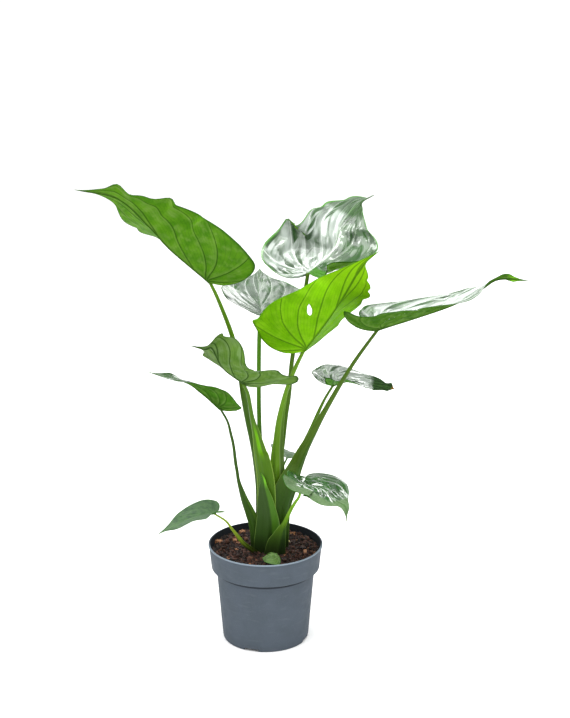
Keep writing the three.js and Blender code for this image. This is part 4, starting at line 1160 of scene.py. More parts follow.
@dataclass
class Blade:
    """A heart-shaped leaf blade: a thin quilted sheet along a bent midrib.

    Attributes:
        shape: How it runs.
        upper: The finish of its upper face.
        under: The finish of its under face.
        seed: The seed of its relief.
        quilt: How far it swells between its veins, in mm.
        hole: Its hole, if it has one.
        rows: How many rows of cells run from the stalk to the tip.
        columns: How many columns of cells each half has.
        thickness: Its thickness, in mm.
        rib_radius: The midrib's radius at the stalk, in mm.
        dome_power: How flat the top of a swelling is.
        patch: Over which distance the height of a panel changes, in mm.
        pucker: How wide the small puckers are, in mm.
        pillow: How long the swellings of a panel are, in mm.
        full_gap: How far apart the veins are where it swells fully, in mm.
    """

    shape: LeafShape
    upper: WaxedFace
    under: BareFace
    seed: int
    quilt: float = 1.4
    hole: tuple[float, ...] = ()
    rows: int = 120
    columns: int = 34
    thickness: float = 0.6
    rib_radius: float = 2.4
    dome_power: float = 2.4
    patch: float = 17.0
    pucker: float = 11.0
    pillow: float = 14.0
    full_gap: float = 18.0

    def surface(self, share: np.ndarray, across: np.ndarray) -> dict[str, np.ndarray]:
        """The blade's middle surface.

        Args:
            share: Rows of the outline, from 0 at the stalk to 1 at the tip.
            across: Columns, from -1 at the right edge to 1 at the left edge.

        Returns:
            The points and what the finishes read at each.
        """
        shape = self.shape
        spine = along_rows(shape.midrib, np.linspace(0, 1, 400))
        steps = np.linalg.norm(np.diff(spine, axis=0), axis=1)
        run = np.concatenate([[0], np.cumsum(steps)])
        length = run[-1]
        heading = unit(np.gradient(spine, run, axis=0))

        outline = along_rows(OUTLINE, share)
        left = across >= 0
        q = np.abs(across)[None, :]
        lobe = np.where(left, shape.lobe[0], shape.lobe[1])[None, :]
        along, reach, station = (outline[:, k : k + 1] for k in range(3))
        along = np.where(along < 0, along * lobe, along)
        x = station + (along - station) * q**BLADE_SPREAD
        s = np.clip(x, 0, 1)
        grown = np.ones_like(x)
        for side, place, extra, spread in shape.edges:
            near = np.exp(-(((x - place) / spread) ** 2)) * (left[None, :] == (side == "left"))
            grown = grown + extra * q**EDGE_SHARPNESS * near
        d = reach * shape.width / OUTLINE_WIDTH * q * length * grown

        def at(values: np.ndarray) -> np.ndarray:
            """Reads values of the spine at every point of the grid."""
            return np.stack([np.interp(s * length, run, values[:, k]) for k in range(3)], -1)

        def turn(values: tuple[float, ...]) -> np.ndarray:
            """Reads an angle along the midrib, in radians."""
            return np.radians(along_rows(values, s)[..., 0])

        point, ahead = at(spine), unit(at(heading))
        level = unit(np.cross(np.array([0.0, 0.0, 1.0]), ahead))
        raised = np.cross(ahead, level)
        roll = turn(shape.roll)[..., None]
        aside = level * np.cos(roll) + raised * np.sin(roll)
        up = np.cross(ahead, aside)

        fold = np.where(left[None, :], turn(shape.left), turn(shape.right))
        cup = np.where(left, shape.cup[0], shape.cup[1])[None, :]
        bend = np.radians(cup) / (CUP_REACH * length)
        bend = np.where(np.abs(bend) < 1e-7, 1e-7, bend)
        out = (np.sin(fold + bend * d) - np.sin(fold)) / bend
        rise = (np.cos(fold) - np.cos(fold + bend * d)) / bend

        height, count, phase = (
            np.where(left, pair[0], pair[1])[None, :]
            for pair in (shape.wave, shape.waves, shape.phase)
        )
        fade = np.minimum(1, (1 - station) * 4)
        rise = rise + height * q**2 * np.sin(2 * np.pi * (count * x + phase / 360)) * fade
        for side, place, bump, spread in shape.ripples:
            on_side = left[None, :] == (side == "left")
            rise = rise + on_side * bump * q**2 * np.exp(-(((x - place) / spread) ** 2))

        behind = np.maximum(-x, 0) * length
        back = np.where(left, shape.back[0], shape.back[1])[None, :]
        curl = np.radians(back) * np.minimum(behind / (LOBE_REACH * length), 1.5) + 1e-9
        points = (
            point
            - ahead * (behind * np.sin(curl) / curl)[..., None]
            + up * (behind * (1 - np.cos(curl)) / curl + rise)[..., None]
            + aside * np.where(left[None, :], out, -out)[..., None]
        )
        return {"points": points, "up": up, "x": x, "d": d, "length": length}

    def vein_numbers(self, share: np.ndarray, across: np.ndarray) -> np.ndarray:
        """Counts the veins from the stalk, as a smooth number that is whole on
        each vein.

        Args:
            share: Rows of the outline, from 0 to 1.
            across: Columns, from -1 to 1.

        Returns:
            The number at each point of the grid.
        """
        rows = share * (len(OUTLINE) - 1)
        starts, ends = np.array(VEIN_STARTS), np.array(VEIN_ENDS)
        columns = [
            np.interp(rows, starts + (ends - starts) * q**VEIN_SWEEP, np.arange(len(starts)))
            for q in np.abs(across)
        ]
        return np.stack(columns, axis=1)

    def vein_gaps(self, points: np.ndarray, vein: np.ndarray) -> np.ndarray:
        """The distance from one vein to the next at each point.

        Args:
            points: The middle surface.
            vein: The vein number at each point.

        Returns:
            The distance in millimetres.
        """
        down, side = np.gradient(points, axis=0), np.gradient(points, axis=1)
        rise_down, rise_side = np.gradient(vein, axis=0), np.gradient(vein, axis=1)
        dd, ss = np.sum(down**2, -1) + 1e-9, np.sum(side**2, -1) + 1e-9
        ds = np.sum(down * side, -1)
        slope = (rise_down**2 * ss - 2 * rise_down * rise_side * ds + rise_side**2 * dd)
        slope = np.sqrt(np.maximum(slope / np.maximum(dd * ss - ds**2, 1e-9), 1e-8))
        return np.clip(1 / slope, 0.5, 60)

    def relief(self, made: dict, vein: np.ndarray, gap: np.ndarray, across: np.ndarray
               ) -> np.ndarray:
        """How far the blade swells between its veins, in millimetres.

        Args:
            made: The middle surface.
            vein: The number of the vein at each row.
            gap: The distance between veins at each point.
            across: The columns, from -1 to 1.

        Returns:
            The height at each point.
        """
        noise = Lattice(self.seed)
        q = np.abs(across)[None, :]
        dome = 1 - np.abs(2 * np.mod(vein, 1) - 1) ** self.dome_power
        side = np.where(across >= 0, 0.0, LATTICE_SHIFT)[None, :]
        wander = noise(vein * 1.0 + side + 0.5, np.abs(made["d"]) / self.patch + 3)
        along, aside = made["x"] * made["length"], made["d"]
        small = noise(along / self.pucker + 9, aside / self.pucker + side)
        steps = np.abs(aside) / self.pillow + 0.5 * np.floor(vein) + 0.4 * wander + side
        pillow = 1 - np.abs(2 * np.mod(steps, 1) - 1) ** self.dome_power
        pleat = 1 - np.abs(2 * np.mod(2 * vein, 1) - 1) ** 2
        room = np.minimum((gap / self.full_gap) ** 0.7, 1.2)
        fade = smooth_step(0.0, 0.1, q) * (1 - 0.55 * smooth_step(0.8, 1.0, q))
        fade = fade * smooth_step(0.0, 1.0, vein)
        swell = dome * (0.35 + 0.35 * pillow + 0.4 * wander) + 0.3 * small
        swell = swell + pleat * (0.2 + 0.2 * small)
        return self.quilt * room * fade * swell

    def mesh(self) -> MeshData:
        """Builds the closed blade with its upper and under faces.

        Returns:
            The mesh.
        """
        share = np.linspace(0, 1, self.rows + 1)
        step = np.linspace(-1, 1, 2 * self.columns + 1)
        across = np.sign(step) * np.abs(step) ** 1.3
        made = self.surface(share, across)
        points = made["points"]
        vein = self.vein_numbers(share, across)
        gap = self.vein_gaps(points, vein)

        normal = unit(np.cross(np.gradient(points, axis=1), np.gradient(points, axis=0)))
        normal[0], normal[-1] = normal[2].mean(axis=0), normal[-2].mean(axis=0)
        normal *= np.sign(np.sum(normal * made["up"], axis=-1, keepdims=True))
        swell = self.relief(made, vein, gap, across)
        skin = points + unit(normal) * swell[..., None]
        half = self.thickness / 2
        rib = self.rib_radius * (1 - 0.8 * share[:, None]) * min(1.0, made["length"] / 190)
        ridge = 1.1 * rib * np.exp(-((made["d"] / rib) ** 2)) * smooth_step(1, 0.9, share)[:, None]
        top = skin + normal * half
        bottom = skin - normal * (half + ridge)[..., None]

        side = np.where(across >= 0, 1.0, -1.0)[None, :]
        veins = np.stack([vein, gap, np.repeat(np.abs(across)[None, :], len(share), 0)], -1)
        lamina = np.stack([made["x"] * made["length"], made["d"] * side, made["x"]], -1)
        return self.close(top, bottom, {"veins": veins, "lamina": lamina})

    def pierce(self, grids: list[np.ndarray], lamina: np.ndarray) -> np.ndarray:
        """Finds the blade's hole and draws the points at its rim onto it.

        Args:
            grids: The grids of points, whose rim points are moved in place.
            lamina: The place of each point along and across the blade.

        Returns:
            Which cells of the grid the hole takes away.
        """
        gone = np.zeros(np.subtract(lamina.shape[:2], 1), bool)
        if not self.hole:
            return gone
        along, across, length, width, turn = self.hole
        cosine, sine = math.cos(math.radians(turn)), math.sin(math.radians(turn))
        off = lamina[..., :2] - (along, across)
        u = (off[..., 0] * cosine + off[..., 1] * sine) / length
        v = (off[..., 1] * cosine - off[..., 0] * sine) / width / (1 - 0.35 * np.clip(u, -1, 1))
        far = np.hypot(u, v)
        gone = (far[:-1, :-1] + far[1:, :-1] + far[:-1, 1:] + far[1:, 1:]) / 4 < 1
        inside, outside = np.zeros(far.shape, bool), np.zeros(far.shape, bool)
        for mark, cells in ((inside, gone), (outside, ~gone)):
            mark[:-1, :-1] |= cells
            mark[1:, :-1] |= cells
            mark[:-1, 1:] |= cells
            mark[1:, 1:] |= cells
        rim = inside & outside
        goal = off[rim] * (1 / far[rim] - 1)[:, None]
        down, aside = (np.gradient(lamina[..., :2], axis=k)[rim] for k in (0, 1))
        area = down[:, 0] * aside[:, 1] - down[:, 1] * aside[:, 0]
        move_down = (goal[:, 0] * aside[:, 1] - goal[:, 1] * aside[:, 0]) / area
        move_side = (down[:, 0] * goal[:, 1] - down[:, 1] * goal[:, 0]) / area
        for grid in grids:
            rows, columns = (np.gradient(grid, axis=k)[rim] for k in (0, 1))
            grid[rim] += rows * move_down[:, None] + columns * move_side[:, None]
        return gone

    def close(self, top: np.ndarray, bottom: np.ndarray, read: dict[str, np.ndarray]
              ) -> MeshData:
        """Joins the two faces round the blade's edge.

        Args:
            top: The upper face's grid of points.
            bottom: The under face's grid of points.
            read: What the finishes read at each point of the grid.

        Returns:
            The closed mesh.
        """
        rows, columns = top.shape[:2]
        gone = self.pierce([top, bottom], read["lamina"])
        number = np.arange(rows * columns).reshape(rows, columns)
        number[0], number[-1] = number[0, 0], number[-1, 0]
        used, flat = np.unique(number, return_inverse=True)
        number = flat.reshape(rows, columns)
        count = len(used)
        vertices = np.vstack([top.reshape(-1, 3)[used], bottom.reshape(-1, 3)[used]])
        faces: list[tuple[int, ...]] = []
        slots: list[int] = []

        def add(corners: list[int], slot: int) -> None:
            """Adds a face without its doubled corners.

            Args:
                corners: The numbers of its points.
                slot: Its material.
            """
            kept = tuple(dict.fromkeys(corners))
            if len(kept) > 2:
                faces.append(kept)
                slots.append(slot)

        for i in range(rows - 1):
            for j in range(columns - 1):
                ring = [number[i, j], number[i + 1, j], number[i + 1, j + 1], number[i, j + 1]]
                ring = [int(k) for k in ring]
                if gone[i, j]:
                    beside = ((i, j - 1), (i + 1, j), (i, j + 1), (i - 1, j))
                    for k, near in enumerate(beside):
                        if not gone[near]:
                            a, b = ring[(k + 1) % 4], ring[k]
                            add([a, b, b + count, a + count], 1)
                    continue
                add(ring[::-1], 0)
                add([k + count for k in ring], 1)
        for j, flip in ((0, True), (columns - 1, False)):
            for i in range(rows - 1):
                a, b = int(number[i, j]), int(number[i + 1, j])
                wall = [a, b, b + count, a + count]
                add(wall if flip else wall[::-1], 1)
        attributes = {
            key: np.vstack([values.reshape(-1, 3)[used]] * 2) for key, values in read.items()
        }
        return MeshData(vertices, faces, np.array(slots), attributes)

    def build(self) -> bpy.types.Object:
        """Builds and dresses the blade.

        Returns:
            The piece.
        """
        name = self.shape.name
        materials = [
            self.upper.material(f"{name} waxed upper face"),
            self.under.material(f"{name} bare under face"),
        ]
        return self.mesh().to_object(f"leaf_{name}", materials, (f"blade_{name}",), "leaf")


@dataclass
class Stalk:
    """A leaf stalk: a round core that opens downwards into a thin sheath.

    Attributes:
        name: The piece's name.
        node: The CAD node that it stands for.
        stations: Its stations (x, y, z, width, depth) from the top down, in mm.
        skin: Its finish.
        core_side: Where the core lies in the sheath, from -1 to 1.
        curl: How far the sheath bends round the clump.
        reach: How far its top runs on towards the blade, in mm.
        rings: How many rings of points it has.
        sides: How many points a ring has.
        opens_at: The width for a depth at which the sheath starts to open.
        opens_over: How much wider it is when fully open.
        wing_edge: The wing's half thickness at its edge, in mm.
        wing_swell: Its half thickness in the middle, as a share of the core's radius.
    """

    name: str
    node: str
    stations: tuple[tuple[float, ...], ...]
    skin: StalkSkin
    core_side: float = -0.6
    curl: float = 0.12
    reach: float = 0.6
    opens_at: float = 1.25
    opens_over: float = 0.7
    wing_edge: float = 0.5
    wing_swell: float = 0.38
    rings: int = 96
    sides: int = 40

    def mesh(self) -> MeshData:
        """Builds the closed stalk.

        Returns:
            The mesh.
        """
        rows = along_rows(self.stations, np.linspace(0, 1, self.rings))
        centre, width, depth = rows[:, :3], rows[:, 3:4], rows[:, 4:5]
        ahead = unit(np.gradient(centre, axis=0))
        centre[0] -= ahead[0] * self.reach
        right = unit(np.cross(np.array([0.0, -1.0, 0.0]), ahead))
        front = np.cross(ahead, right)
        front = np.where(front[:, 1:2] > 0, -front, front)

        turn = np.arange(self.sides) * 2 * np.pi / self.sides
        x = width / 2 * np.cos(turn)
        sheath = np.clip((width / depth - self.opens_at) / self.opens_over, 0, 1)
        radius = np.minimum(depth, width) / 2
        middle = self.core_side * (width / 2 - radius)
        core = np.sqrt(np.maximum(radius**2 - (x - middle) ** 2, 0))
        edge = 1 - (2 * x / width) ** 2
        wing = self.wing_edge + (self.wing_swell * radius - self.wing_edge) * edge
        wing = wing * np.minimum(1, 3 * np.abs(np.sin(turn)))
        thick = (core**4 + wing**4) ** 0.25
        bow = self.curl * width * ((x - middle) / width) ** 2 * sheath * 2
        y = np.sign(np.round(np.sin(turn), 6)) * thick + bow
        vertices = centre[:, None] + right[:, None] * x[..., None] + front[:, None] * y[..., None]

        run = np.concatenate([[0], np.cumsum(np.linalg.norm(np.diff(centre, axis=0), axis=1))])
        long = np.repeat(run[:, None], self.sides, axis=1)
        stem = np.stack([long, x, y], -1)
        share = np.stack([2 * x / width, np.broadcast_to(sheath, x.shape), vertices[..., 2]], -1)

        faces = ring_faces(self.rings, self.sides)
        last = (self.rings - 1) * self.sides
        faces.append(tuple(range(self.sides))[::-1])
        faces.append(tuple(last + k for k in range(self.sides)))
        read = {"stem": stem.reshape(-1, 3), "sheath": share.reshape(-1, 3)}
        return MeshData(vertices.reshape(-1, 3), faces, None, read)

    def build(self) -> bpy.types.Object:
        """Builds and dresses the stalk.

        Returns:
            The piece.
        """
        materials = [self.skin.material(f"{self.name} skin")]
        return self.mesh().to_object(self.name, materials, (self.node,), "stalk")


@dataclass
class Pot:
    """The nursery pot: a turned plastic shell on a notched foot ring.

    Sizes are in mm and the turn of its notches in degrees.
    """

    rim_radius: float = 95.0
    height: float = 165.5
    lip_height: float = 3.0
    lip_overhang: float = 1.2
    lip_slope: float = 0.3
    collar_foot_radius: float = 90.0
    collar_foot: float = 125.0
    body_top_radius: float = 81.8
    body_top: float = 122.0
    step_width: float = 1.0
    step_rise: float = 2.4
    step_slope: float = 0.2
    body_foot_radius: float = 71.5
    foot_slope: float = 0.3
    wall: float = 1.8
    floor: float = 6.5
    foot_width: float = 4.0
    pad_radius: float = 12.0
    notches: int = 4
    notch_width: float = 24.0
    notch_height: float = 4.4
    notch_turn: float = -109.0
    body_rows: tuple[float, ...] = (12.0, 40.0, 70.0)
    drain_holes: int = 8
    drain_radius: float = 5.0
    drain_circle: float = 46.0
    drain_sides: int = 28
    segments: int = 240
    plastic: MouldedPolypropylene = MouldedPolypropylene()

    def profile(self) -> list[tuple[float, float, float]]:
        """The shell's outline.

        Returns:
            Its corners as (radius, height, rounding).
        """
        lip = self.rim_radius - self.lip_overhang
        foot, top = self.body_foot_radius, self.body_top_radius
        return [
            (0.0, 0.0, 0.0),
            (self.pad_radius, 0.0, 0.6),
            (self.pad_radius, self.floor - self.wall, 0.6),
            (foot - self.foot_width, self.floor - self.wall, 0.6),
            (foot - self.foot_width, 0.0, 0.6),
            (foot - self.foot_slope, 0.0, 2.6),
            (top - self.step_slope, self.body_top - self.step_rise, 0.4),
            (top - self.step_width, self.body_top, 0.5),
            (self.collar_foot_radius, self.collar_foot, 1.0),
            (lip, self.height - self.lip_height, 0.3),
            (self.rim_radius, self.height - self.lip_height + self.lip_slope, 0.4),
            (self.rim_radius, self.height, 1.1),
            (lip - self.wall, self.height, 0.7),
            (self.collar_foot_radius - self.wall, self.collar_foot + self.wall, 2.0),
            (top - self.wall, self.body_top + self.wall, 1.0),
            (foot - self.wall, self.floor, 1.5),
            (0.0, self.floor, 0.0),
        ]

    def rounded(self, steps: int = 6) -> np.ndarray:
        """The outline with its corners rounded.

        Args:
            steps: How many points each rounding takes.

        Returns:
            Rows of radius and height.
        """
        corners = self.profile()
        made = [corners[0][:2]]
        body = (self.body_foot_radius, self.body_top_radius, self.body_top)
        for before, here, after in zip(corners, corners[1:], corners[2:]):
            at = np.array(here[:2])
            back, on = np.array(before[:2]) - at, np.array(after[:2]) - at
            reach = min(here[2], np.linalg.norm(back) * 0.45, np.linalg.norm(on) * 0.45)
            start = at + back / np.linalg.norm(back) * reach
            end = at + on / np.linalg.norm(on) * reach
            for t in np.linspace(0, 1, steps):
                made.append(tuple((1 - t) ** 2 * start + 2 * t * (1 - t) * at + t**2 * end))
            if here[1] == 0 and here[0] > self.body_foot_radius - 1:
                for z in (self.notch_height + 0.2, self.notch_height + 0.6, *self.body_rows):
                    made.append((body[0] + (body[1] - body[0]) * z / body[2], z))
        made.append(corners[-1][:2])
        return np.array(made)

    def mesh(self) -> MeshData:
        """Turns the outline and lifts the foot ring at its notches.

        Returns:
            The mesh.
        """
        outline = self.rounded()
        half = math.degrees(self.notch_width / 2 / self.body_foot_radius)
        centres = [self.notch_turn + k * 360 / self.notches for k in range(self.notches)]
        turns = list(np.arange(self.segments) * 360 / self.segments)
        for centre in centres:
            for edge in (centre - half, centre + half):
                turns += [edge % 360, (edge + 0.25) % 360]
        turns = np.array(sorted(turns))
        off = np.min([np.abs((turns - c + 180) % 360 - 180) for c in centres], axis=0)
        lifted = off < half + 0.1

        radius = outline[1:-1, 0][:, None]
        height = np.repeat(outline[1:-1, 1][:, None], len(turns), axis=1)
        on_foot = (radius > self.pad_radius + 5) & (height < self.notch_height)
        height = np.where(on_foot & lifted[None, :], self.notch_height, height)
        angle = np.radians(turns)[None, :]
        ring = np.stack([radius * np.cos(angle), radius * np.sin(angle), height], -1)
        vertices = np.vstack([ring.reshape(-1, 3), [[0, 0, 0], [0, 0, self.floor]]])
        count, around = len(outline) - 2, len(turns)
        faces = ring_faces(count, around)
        low, high, last = count * around, count * around + 1, (count - 1) * around
        for k in range(around):
            n = (k + 1) % around
            faces.append((low, n, k))
            faces.append((high, last + k, last + n))
        return MeshData(vertices, faces, None, {})

    def drill(self, shell: bpy.types.Object) -> None:
        """Cuts the drain holes through the floor.

        Args:
            shell: The pot's piece.
        """
        sides = self.drain_sides
        turn = np.arange(sides) * 2 * np.pi / sides
        vertices, faces = [], []
        for hole in range(self.drain_holes):
            aim = (hole + 0.5) * 2 * np.pi / self.drain_holes
            x = self.drain_circle * math.cos(aim) + self.drain_radius * np.cos(turn)
            y = self.drain_circle * math.sin(aim) + self.drain_radius * np.sin(turn)
            start = len(vertices)
            for z in (1.0, self.floor + 2):
                vertices += [(a, b, z) for a, b in zip(x, y)]
            faces += [tuple(start + k for k in face) for face in ring_faces(2, sides)]
            faces.append(tuple(start + k for k in range(sides))[::-1])
            faces.append(tuple(start + sides + k for k in range(sides)))
        mesh = bpy.data.meshes.new("drill")
        mesh.from_pydata((np.array(vertices) * MM).tolist(), [], faces)
        tool = bpy.data.objects.new("drill", mesh)
        bpy.context.scene.collection.objects.link(tool)
        cut = shell.modifiers.new("drain holes", "BOOLEAN")
        cut.operation, cut.solver, cut.object = "DIFFERENCE", "EXACT", tool
        made = shell.evaluated_get(bpy.context.evaluated_depsgraph_get())
        drilled = bpy.data.meshes.new_from_object(made)
        shell.modifiers.clear()
        shell.data = drilled
        bpy.data.objects.remove(tool)

    def build(self) -> bpy.types.Object:
        """Builds and dresses the pot.

        Returns:
            The piece.
        """
        material = self.plastic.material("moulded polypropylene")
        shell = self.mesh().to_object("nursery_pot", [material], ("pot",), "pot")
        self.drill(shell)
        return shell


@dataclass
class Soil:
    """Bark soil: a crumbly plug with loose crumbs and flakes on its top, which
    keep clear of the clump."""

    top: float = 150.0
    roughness: float = 1.3
    heap: float = 4.5
    heap_from: float = -20.0
    heap_to: float = 75.0
    lump: float = 4.5
    grit: float = 2.1
    rings: int = 60
    segments: int = 160
    crumbs: int = 1500
    flakes: int = 330
    seed: int = 11
    open_radius: float = 85.0
    clump: tuple[float, float] = (6.0, 8.0)
    clump_radius: float = 21.0
    # The plug's side as (radius, height), 0.35 mm clear of the pot's wall
    wall: tuple[tuple[float, float], ...] = (
        (67.8, 6.85), (69.3, 8.35), (79.6, 124.2), (87.9, 127.2), (90.1, 148.0),
    )
    mix: BarkAndPeat = BarkAndPeat()

    def height(self, x: np.ndarray, y: np.ndarray) -> np.ndarray:
        """The height of the soil's top.

        Args:
            x: Places on the ground, to the right.
            y: The same, to the back.

        Returns:
            The height at each.
        """
        clods = np.sin(x * 0.21 + 1.3) * np.cos(y * 0.17 - 0.6)
        clods = clods + 0.7 * np.sin(x * 0.47 - y * 0.39) + 0.5 * np.cos(x * 0.33 + y * 0.71 + 2)
        noise = Lattice(self.seed)
        rough = noise(x / self.lump + 7, y / self.lump + 3) * 1.5
        rough = rough + noise(x / self.grit, y / self.grit + 5) * 0.7
        heap = self.heap * smooth_step(self.heap_from, self.heap_to, np.asarray(y, float))
        return self.top + self.roughness * clods + rough + heap

    def plug(self) -> MeshData:
        """Builds the plug that fills the pot.

        Returns:
            The mesh.
        """
        wall = self.wall
        radius = [r for r, _ in wall] + list(np.linspace(wall[-1][0], 1.5, self.rings))
        turn = np.arange(self.segments) * 2 * np.pi / self.segments
        rings = []
        for i, r in enumerate(radius):
            x, y = r * np.cos(turn), r * np.sin(turn)
            z = np.full(self.segments, wall[i][1]) if i < len(wall) else self.height(x, y)
            rings.append(np.stack([x, y, z], -1))
        vertices = np.concatenate(rings)
        faces = [tuple(range(self.segments))[::-1], *ring_faces(len(radius), self.segments)]
        last = (len(radius) - 1) * self.segments
        faces.append(tuple(last + k for k in range(self.segments)))
        noise = Lattice(self.seed + 1)
        tint = 0.25 + 0.3 * noise(vertices[:, 0] / 3, vertices[:, 1] / 3)
        return MeshData(vertices, faces, None, {"crumb": np.stack([tint] * 3, -1)})

    def scatter(self, random: np.random.Generator) -> tuple[float, float]:
        """Draws a place on the soil's open top.

        Args:
            random: The generator to draw from.

        Returns:
            Its x and y.
        """
        while True:
            radius = self.open_radius * math.sqrt(random.uniform())
            turn = random.uniform(0, 2 * math.pi)
            x, y = radius * math.cos(turn), radius * math.sin(turn)
            if math.hypot(x - self.clump[0], y - self.clump[1]) > self.clump_radius:
                return x, y

    def loose(self) -> MeshData:
        """Builds the loose crumbs and flakes as one mesh.

        Returns:
            The mesh.
        """
        random = np.random.default_rng(self.seed)
        golden = (1 + 5**0.5) / 2
        ball = unit(np.array([
            (-1, golden, 0), (1, golden, 0), (-1, -golden, 0), (1, -golden, 0),
            (0, -1, golden), (0, 1, golden), (0, -1, -golden), (0, 1, -golden),
            (golden, 0, -1), (golden, 0, 1), (-golden, 0, -1), (-golden, 0, 1),
        ]))
        ball_faces = [
            (0, 11, 5), (0, 5, 1), (0, 1, 7), (0, 7, 10), (0, 10, 11), (1, 5, 9), (5, 11, 4),
            (11, 10, 2), (10, 7, 6), (7, 1, 8), (3, 9, 4), (3, 4, 2), (3, 2, 6), (3, 6, 8),
            (3, 8, 9), (4, 9, 5), (2, 4, 11), (6, 2, 10), (8, 6, 7), (9, 8, 1),
        ]
        block = np.array([(x, y, z) for x in (-1, 1) for y in (-1, 1) for z in (-1, 1)], float)
        block_faces = [(0, 1, 3, 2), (4, 6, 7, 5), (0, 4, 5, 1), (2, 3, 7, 6), (0, 2, 6, 4),
                       (1, 5, 7, 3)]
        vertices, faces, tints, count = [], [], [], 0

        def add(form: np.ndarray, parts: list, size: np.ndarray, x: float, y: float,
                tilt: float, tint: float) -> None:
            """Adds one crumb or flake.

            Args:
                form: Its points before it is bent and placed.
                parts: Its faces.
                size: Its half sizes.
                x: Where it lies, to the right.
                y: Where it lies, to the back.
                tilt: The most that it may lean, in radians.
                tint: What its finish reads.
            """
            nonlocal count
            shaped = (form + random.uniform(-0.22, 0.22, form.shape)) * size
            a, b = random.uniform(0, 2 * math.pi), random.uniform(-tilt, tilt)
            about = np.array([[math.cos(a), -math.sin(a), 0], [math.sin(a), math.cos(a), 0],
                              [0, 0, 1]])
            over = np.array([[1, 0, 0], [0, math.cos(b), -math.sin(b)],
                             [0, math.sin(b), math.cos(b)]])
            placed = shaped @ over.T @ about.T
            lift = self.height(np.array(x), np.array(y)) + size[2] * 0.35
            vertices.append(placed + (x, y, lift))
            faces.extend(tuple(count + k for k in face) for face in parts)
            tints.append(np.full(len(form), tint))
            count += len(form)

        for _ in range(self.crumbs):
            x, y = self.scatter(random)
            size = min(random.lognormal(0.45, 0.45), 4.2)
            scale = size * random.uniform(0.6, 1.2, 3)
            add(ball, ball_faces, scale, x, y, 1.5, random.uniform(0.0, 0.86))
        for _ in range(self.flakes):
            x, y = self.scatter(random)
            scale = random.uniform((2.0, 1.0, 0.5), (6.5, 2.6, 1.4))
            add(block, block_faces, scale, x, y, 0.7, random.uniform(0.1, 0.9))
        for x, y, size, tint in SHOWN_FLAKES:
            add(block, block_faces, np.array(size), x, y, 0.3, tint)
        tint = np.concatenate(tints)
        return MeshData(np.vstack(vertices), faces, None, {"crumb": np.stack([tint] * 3, -1)})

    def build(self) -> list[bpy.types.Object]:
        """Builds and dresses the soil.

        Returns:
            The pieces.
        """
        material = self.mix.material("bark and peat")
        plug = self.plug().to_object("soil_plug", [material], ("soil",), "soil")
        loose = self.loose().to_object("soil_crumbs", [material], (), "soil")
        loose.data.polygons.foreach_set("use_smooth", [False] * len(loose.data.polygons))
        return [plug, loose]


# Flakes that stand out: (x, y, half sizes, tint), in mm
SHOWN_FLAKES = (
    (-79.0, 32.0, (5.5, 4.0, 2.6), 0.94),
    (-48.0, 6.0, (5.5, 2.6, 1.6), 0.9),
    (36.7, 30.0, (1.6, 3.0, 4.5), 0.99),
    (-51.8, 38.0, (3.6, 3.4, 2.2), 0.93),
    (-40.0, 68.0, (5.0, 4.0, 2.6), 0.92),
    (46.0, 62.0, (4.6, 4.0, 2.6), 0.94),
    (56.0, 36.0, (2.6, 3.0, 2.2), 0.97),
    (66.0, -6.0, (6.5, 2.6, 1.6), 0.93),
    (-60.0, -34.0, (8.0, 2.6, 1.6), 0.88),
    (-16.0, -60.0, (4.0, 3.0, 1.6), 0.93),
)


@dataclass(frozen=True)
class Softbox:
    """A soft studio light, with its places and sizes in metres."""

    name: str
    place: tuple[float, float, float]
    aim: tuple[float, float, float]
    size: tuple[float, float]
    radiance: float

    def build(self) -> None:
        """Hangs the light, out of the camera's sight."""
        light = bpy.data.lights.new(self.name, "AREA")
        light.shape = "RECTANGLE"
        light.size, light.size_y = self.size
        light.energy = self.radiance * math.pi * self.size[0] * self.size[1]
        lamp = bpy.data.objects.new(self.name, light)
        lamp.location = self.place
        turn = (Vector(self.aim) - Vector(self.place)).to_track_quat("-Z", "Y")
        lamp.rotation_euler = turn.to_euler()
        lamp.visible_camera = False
        bpy.context.scene.collection.objects.link(lamp)


